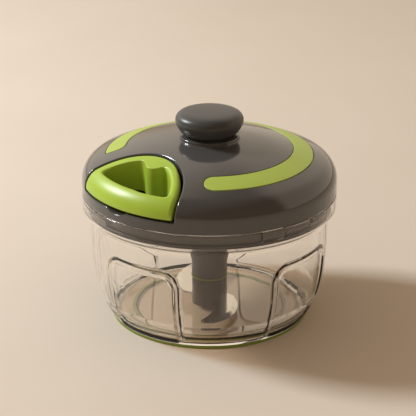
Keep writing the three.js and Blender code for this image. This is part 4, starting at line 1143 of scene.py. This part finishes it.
def screw_mesh(name, bottom, head_radius, head_height, shank_radius, top, material):
    """A screw on the Z axis that points up, with a cross recess in its head and a ribbed thread."""
    turns = np.arange(64) * 2 * math.pi / 64
    face = [(r, bottom + 0.25 * (r / head_radius) ** 4) for r in np.linspace(0, head_radius, 22)]
    side = [(head_radius, bottom + head_height), (shank_radius, bottom + head_height)]
    for z in np.arange(bottom + head_height + 0.6, top - 1, thread_pitch):
        side += [
            (shank_radius * thread_root, z), (shank_radius, z + thread_pitch * 0.4),
            (shank_radius * thread_root, z + thread_pitch * 0.8)]
    side += [(shank_radius * 0.8, top - 0.8), (shank_radius * 0.3, top), (0, top)]
    section = np.array(face + side)
    radii, heights = section[:, :1] + 0 * turns, section[:, 1:] + 0 * turns
    x, y = radii * np.cos(turns), radii * np.sin(turns)
    arms = [
        np.minimum(cross_half - np.abs(a), head_radius / 3 * cross_reach - np.abs(b))
        for a, b in ((x, y), (y, x))]
    recess = cross_depth * ramp(np.maximum(*arms), -0.1, 0.1)
    heights[:len(face)] += recess[:len(face)]
    return make_piece(name, [grid(np.stack([x, y, heights], axis=-1))], material)


def nodes_tree(name, sockets):
    """A Geometry Nodes tree, its inputs, and their values by socket identifier. Sockets holds a kind
    and a value for each label."""
    tree = bpy.data.node_groups.new(name, "GeometryNodeTree")
    tree.is_modifier = True
    values = {}
    for label, (kind, value) in sockets.items():
        socket = tree.interface.new_socket(label, in_out="INPUT", socket_type="NodeSocket" + kind)
        values[socket.identifier] = value
    tree.interface.new_socket("Geometry", in_out="OUTPUT", socket_type="NodeSocketGeometry")
    return tree, add_node(tree, "NodeGroupInput").outputs, values


def from_tree(name, tree, shape, values):
    """A plain mesh object from the last node of a tree and the values of the tree's inputs."""
    material = next(node for node in tree.nodes if node.type == "GROUP_INPUT").outputs["Material"]
    real = add_node(tree, "GeometryNodeRealizeInstances", {"Geometry": shape})
    done = add_node(tree, "GeometryNodeSetMaterial", {"Geometry": real, "Material": material})
    add_node(tree, "NodeGroupOutput", {"Geometry": done})
    host = bpy.data.objects.new(name, bpy.data.meshes.new(name))
    bpy.context.scene.collection.objects.link(host)
    modifier = host.modifiers.new("nodes", "NODES")
    modifier.node_group = tree
    for identifier, value in values.items():
        modifier[identifier] = value
    mesh = bpy.data.meshes.new_from_object(host.evaluated_get(bpy.context.evaluated_depsgraph_get()))
    host.modifiers.remove(modifier)
    host.data = mesh
    return host


def set_out(name, screw, count, circle, first_turn, material):
    """Copies of a screw on a circle, made by a Geometry Nodes tree and turned into one plain mesh."""
    tree, given, values = nodes_tree(name + "_tree", {
        "Screw": ("Object", screw), "Count": ("Int", count), "Circle Radius": ("Float", circle * MM),
        "First Turn": ("Float", math.radians(first_turn)), "Material": ("Material", material)})
    share = add_node(tree, "ShaderNodeMath", {
        0: add_node(tree, "GeometryNodeInputIndex"), 1: given["Count"]}, operation="DIVIDE")
    turn = add_node(tree, "ShaderNodeMath", {
        0: share, 1: 2 * math.pi, 2: given["First Turn"]}, operation="MULTIPLY_ADD")
    x, y = (add_node(tree, "ShaderNodeMath", {
        0: add_node(tree, "ShaderNodeMath", {0: turn}, operation=way), 1: given["Circle Radius"]},
        operation="MULTIPLY") for way in ("COSINE", "SINE"))
    place = add_node(tree, "ShaderNodeCombineXYZ", {"X": x, "Y": y})
    points = add_node(tree, "GeometryNodePoints", {"Count": given["Count"], "Position": place})
    source = add_node(tree, "GeometryNodeObjectInfo", {"Object": given["Screw"]})
    spread = add_node(tree, "GeometryNodeInstanceOnPoints", {
        "Points": points, "Instance": source.outputs["Geometry"]})
    return from_tree(name, tree, spread, values)


screw_low, screw_high = span("cover_screw_1")
one_screw = screw_mesh(
    "one_cover_screw", screw_low[2], head_radius=3, head_height=1.2, shank_radius=1.35,
    top=screw_high[2], material=turned_steel)
cover_screws = set_out("cover_screws", one_screw, 3, screw_circle, 90, turned_steel)
bpy.data.objects.remove(one_screw)
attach(cover_screws, "lid")
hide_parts("cover_screw_1", "cover_screw_2", "cover_screw_3")

# Drive screws: two small steel screws of the same kind as the cover screws. They come up through
# the drive shaft's flange and hold it to the spool.
drive_screw_low, drive_screw_high = span("drive_screw_1")
drive_screw_circle = 8
one_screw = screw_mesh(
    "one_drive_screw", drive_screw_low[2], head_radius=1.9, head_height=1, shank_radius=1,
    top=drive_screw_high[2], material=turned_steel)
drive_screws = set_out("drive_screws", one_screw, 2, drive_screw_circle, 0, turned_steel)
bpy.data.objects.remove(one_screw)
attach(drive_screws, "rotor")
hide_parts("drive_screw_1", "drive_screw_2")

# Drive bush: a flanged plain bearing of white acetal in the lid base's hole. The drive shaft's
# journal turns in it.
bush_low, bush_high = span("drive_bush")
bush_bore = 6.3
bush_flange = 0.8
bush_clearance = 0.3
white_acetal = moulded("white_acetal", "#d9d3c6", 0.35, 0.6, 0.01)
bush_section = rounded([
    [bush_bore, bush_low[2], 0.25], [bush_high[0], bush_low[2], 0.25],
    [bush_high[0], bush_low[2] + bush_flange, 0.15],
    [shaft_hole - bush_clearance, bush_low[2] + bush_flange, 0.1],
    [shaft_hole - bush_clearance, bush_high[2], 0.4],
    [bush_bore, bush_high[2], 0.2]])
bush = make_piece("drive_bush_moulded", [lathe(bush_section, 64)], white_acetal)
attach(bush, "lid")
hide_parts("drive_bush")

# Drive shaft: a grey nylon moulding with a flange under the spool, a journal in the bush, and the
# hexagonal key that turns the blade shaft.
drive_low, drive_high = span("drive_shaft")
key_corner = 5.2
journal_radius = 6
journal_bottom = bush_low[2]
flange_bottom = drive_screw_low[2] + 1.1
dark_nylon = moulded("glass_filled_grey_nylon", "#5b5650", 0.42, 0.5, 0.015)
shaft_section = rounded([
    [0, journal_bottom, 0], [journal_radius, journal_bottom, 0.4], [journal_radius, flange_bottom, 0.3],
    [drive_high[0], flange_bottom, 0.3], [drive_high[0], flange_bottom + 1.7, 0.3],
    [4.6, flange_bottom + 1.7, 0.3], [4.6, drive_high[2], 0.5], [0, drive_high[2], 0]])
key_radius = key_corner * one_hexagon
key_rows = [(0.0, drive_low[2]), (0.86, drive_low[2]), (0.95, drive_low[2] + 0.15), (1.0, drive_low[2] + 0.7),
            (1.0, journal_bottom + 0.5), (0.0, journal_bottom + 0.5)]
key = np.array([
    np.stack([k * key_radius * np.cos(hex_turns), k * key_radius * np.sin(hex_turns), z + 0 * key_radius],
                         axis=-1) for k, z in key_rows])
drive_shaft = make_piece(
    "drive_shaft_moulded", [lathe(shaft_section, 64, closed=False), grid(key)], dark_nylon)
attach(drive_shaft, "rotor")
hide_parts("drive_shaft")

# Recoil spring: a flat steel strip that winds out from the spool's hub to the wall of its housing.
# Geometry Nodes draws the spiral and sweeps the strip along it.
spring_low, spring_high = span("recoil_spring")
strip_thickness = 0.5
spring_steel = metal("blued_spring_steel", "#8b8f94", 0.25, 0.6, 0.004)
tree, given, values = nodes_tree("spiral_spring_tree", {
    "Turns": ("Float", 5), "Inner Radius": ("Float", 5.6 * MM), "Outer Radius": ("Float", 20.6 * MM),
    "Strip Width": ("Float", (spring_high - spring_low)[2] * MM),
    "Strip Thickness": ("Float", strip_thickness * MM),
    "Height": ("Float", (spring_high + spring_low)[2] / 2 * MM), "Material": ("Material", spring_steel)})
spiral = add_node(tree, "GeometryNodeCurveSpiral", {
    "Resolution": 48, "Rotations": given["Turns"], "Start Radius": given["Inner Radius"],
    "End Radius": given["Outer Radius"], "Height": 0, "Reverse": True})
strip = add_node(tree, "GeometryNodeCurvePrimitiveQuadrilateral", {
    "Width": given["Strip Thickness"], "Height": given["Strip Width"]})
swept = add_node(tree, "GeometryNodeCurveToMesh", {
    "Curve": spiral, "Profile Curve": strip, "Fill Caps": True})
up = add_node(tree, "ShaderNodeCombineXYZ", {"Z": given["Height"]})
placed = add_node(tree, "GeometryNodeTransform", {"Geometry": swept, "Translation": up})
spring = from_tree("recoil_spring_wound", tree, placed, values)
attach(spring, "lid")
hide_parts("recoil_spring")

# Pull cord: a braided nylon cord in four loops on the spool, with a straight run to the guide. A
# second piece carries the run on into the handle.
cord_radius = 1.1
cord_height = (span("cord_tail")[0][2] + span("cord_tail")[1][2]) / 2
winding_radius = 17.3
cord_loops = 4
cord_pitch = 2.7
guide_near = -span("cord_guide")[1][1]
pocket_apex = -span("cord_guide")[0][1]
braid, tree = new_material("braided_nylon_cord")
# Round braid: small crossing strands that catch the light, off white, with painted shade that greys the dips
# between the strands
place = add_node(tree, "ShaderNodeTexCoord").outputs["Object"]
strands_and_crease_shade = add_node(tree, "ShaderNodeTexVoronoi", {"Vector": place, "Scale": 1 / (0.7 * MM)})
# Painted shade: the colour turns grey towards the strands' edges, where the bump sinks between them
tint = add_node(tree, "ShaderNodeMix", {
    "Factor": strands_and_crease_shade, "A": linear("#e8e4da"), "B": linear("#8f8a80")}, data_type="RGBA")
bump = add_node(tree, "ShaderNodeBump", {
    "Height": strands_and_crease_shade, "Distance": 0.12 * MM, "Strength": 1}, invert=True)
skin = add_node(tree, "ShaderNodeBsdfPrincipled", {
    "Base Color": tint, "Roughness": 0.65, "Normal": bump, "Sheen Weight": 0.3})
add_node(tree, "ShaderNodeOutputMaterial", {"Surface": skin})


def cord_tube(name, path, sides=12):
    """A closed tube along a path."""
    along = np.gradient(path, axis=0)
    along /= np.linalg.norm(along, axis=1, keepdims=True)
    sideways = np.cross([0, 0, 1], along)
    sideways /= np.linalg.norm(sideways, axis=1, keepdims=True)
    up = np.cross(along, sideways)
    turns = np.arange(sides) * 2 * math.pi / sides
    rings = path[:, None] + cord_radius * (
        np.cos(turns)[:, None] * sideways[:, None] + np.sin(turns)[:, None] * up[:, None])
    ends = [path[:1, None] + 0 * rings[:1], rings, path[-1:, None] + 0 * rings[-1:]]
    points, faces, _ = grid(np.concatenate(ends))
    return make_piece(name, [(points, [face[::-1] for face in faces], None)], braid)


bend_radius = guide_near - 0.3
leave_turn = 270 - math.degrees(math.acos(winding_radius / bend_radius))
start_turn = leave_turn - cord_loops * 360
loop_turns = np.radians(np.linspace(start_turn, leave_turn, cord_loops * 48 + 1))
loop_heights = np.linspace(cord_height - cord_loops * cord_pitch, cord_height, len(loop_turns))
winding = np.column_stack([
    winding_radius * np.cos(loop_turns), winding_radius * np.sin(loop_turns), loop_heights])
bend = np.array([0, -bend_radius, cord_height])
straight = winding[-1] + np.linspace(0.15, 0.85, 6)[:, None] * (bend - winding[-1])
corner_path = bezier(straight[-1][:2], (0, -bend_radius + 0.2), (0, -bend_radius - 1.6), count=8)[1:]
run_out = np.array([[0, y, cord_height] for y in (-pocket_apex + 1.2, -pocket_apex, -pocket_apex - 0.1)])
cord_path = np.vstack([winding, straight, lifted(corner_path, cord_height), run_out])
cord = cord_tube("cord_winding_braided", cord_path)
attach(cord, "lid")
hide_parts("pull_cord")
tail_low = span("cord_tail")[0]
cord_run = cord_tube("cord_run_braided", np.column_stack([
    np.zeros(24), np.linspace(-pocket_apex - 0.05, tail_low[1], 24), np.full(24, cord_height)]))
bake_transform(cord_run)
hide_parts("cord_tail")

# Cord guide: a flanged eyelet of white acetal in the pocket's wall, with a flared mouth. The cord
# runs out through it to the handle.
guide_high = span("cord_guide")[1]


def laid(patch):
    """A patch that was turned about Z, laid along -Y at the cord's height."""
    points = patch[0]
    return np.column_stack([points[:, 0], -points[:, 2], points[:, 1] + cord_height]), patch[1], patch[2]


guide_section = rounded([
    [cord_radius + 0.3, guide_near + 1.3, 0.4], [cord_radius + 1.2, guide_near, 0.2],
    [guide_high[0], guide_near, 0.3], [guide_high[0], guide_near + 1.4, 0.2], [3, guide_near + 1.4, 0.1],
    [3, pocket_apex, 0.3], [cord_radius + 0.3, pocket_apex, 0.25]])
guide = make_piece("cord_guide_moulded", [laid(lathe(guide_section, 48))], white_acetal)
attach(guide, "lid")
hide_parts("cord_guide")

# Ferrule: a short steel tube that is crimped on the cord's end inside the handle's boss. It stops
# the cord from pulling out of the boss.
ferrule_low, ferrule_high = span("cord_ferrule")
ferrule_radius = ferrule_high[0]
ferrule_near = -ferrule_high[1]
ferrule_far = -ferrule_low[1]
ferrule_section = rounded([
    [cord_radius + 0.1, ferrule_near, 0.15], [ferrule_radius, ferrule_near, 0.3],
    [ferrule_radius, ferrule_near + 0.9, 0.2], [ferrule_radius - 0.35, ferrule_near + 1.3, 0.3],
    [ferrule_radius, ferrule_near + 1.7, 0.2], [ferrule_radius, ferrule_near + 2.4, 0.2],
    [ferrule_radius - 0.35, ferrule_near + 2.8, 0.3], [ferrule_radius, ferrule_near + 3.2, 0.2],
    [ferrule_radius, ferrule_far, 0.4], [0, ferrule_far, 0], [0, ferrule_far - 1, 0],
    [cord_radius + 0.1, ferrule_far - 1, 0]])
ferrule = make_piece("cord_ferrule_crimped", [laid(lathe(ferrule_section, 32, closed=False))], turned_steel)
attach(ferrule, "handle")
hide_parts("cord_ferrule")

# Spool, spring housing and axle bolt stay as the CAD has them, inside the lid
for name, material in (("spool", white_acetal), ("spring_housing", dark_nylon), ("axle_bolt", turned_steel)):
    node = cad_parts[name]
    node.data.materials.clear()
    node.data.materials.append(material)
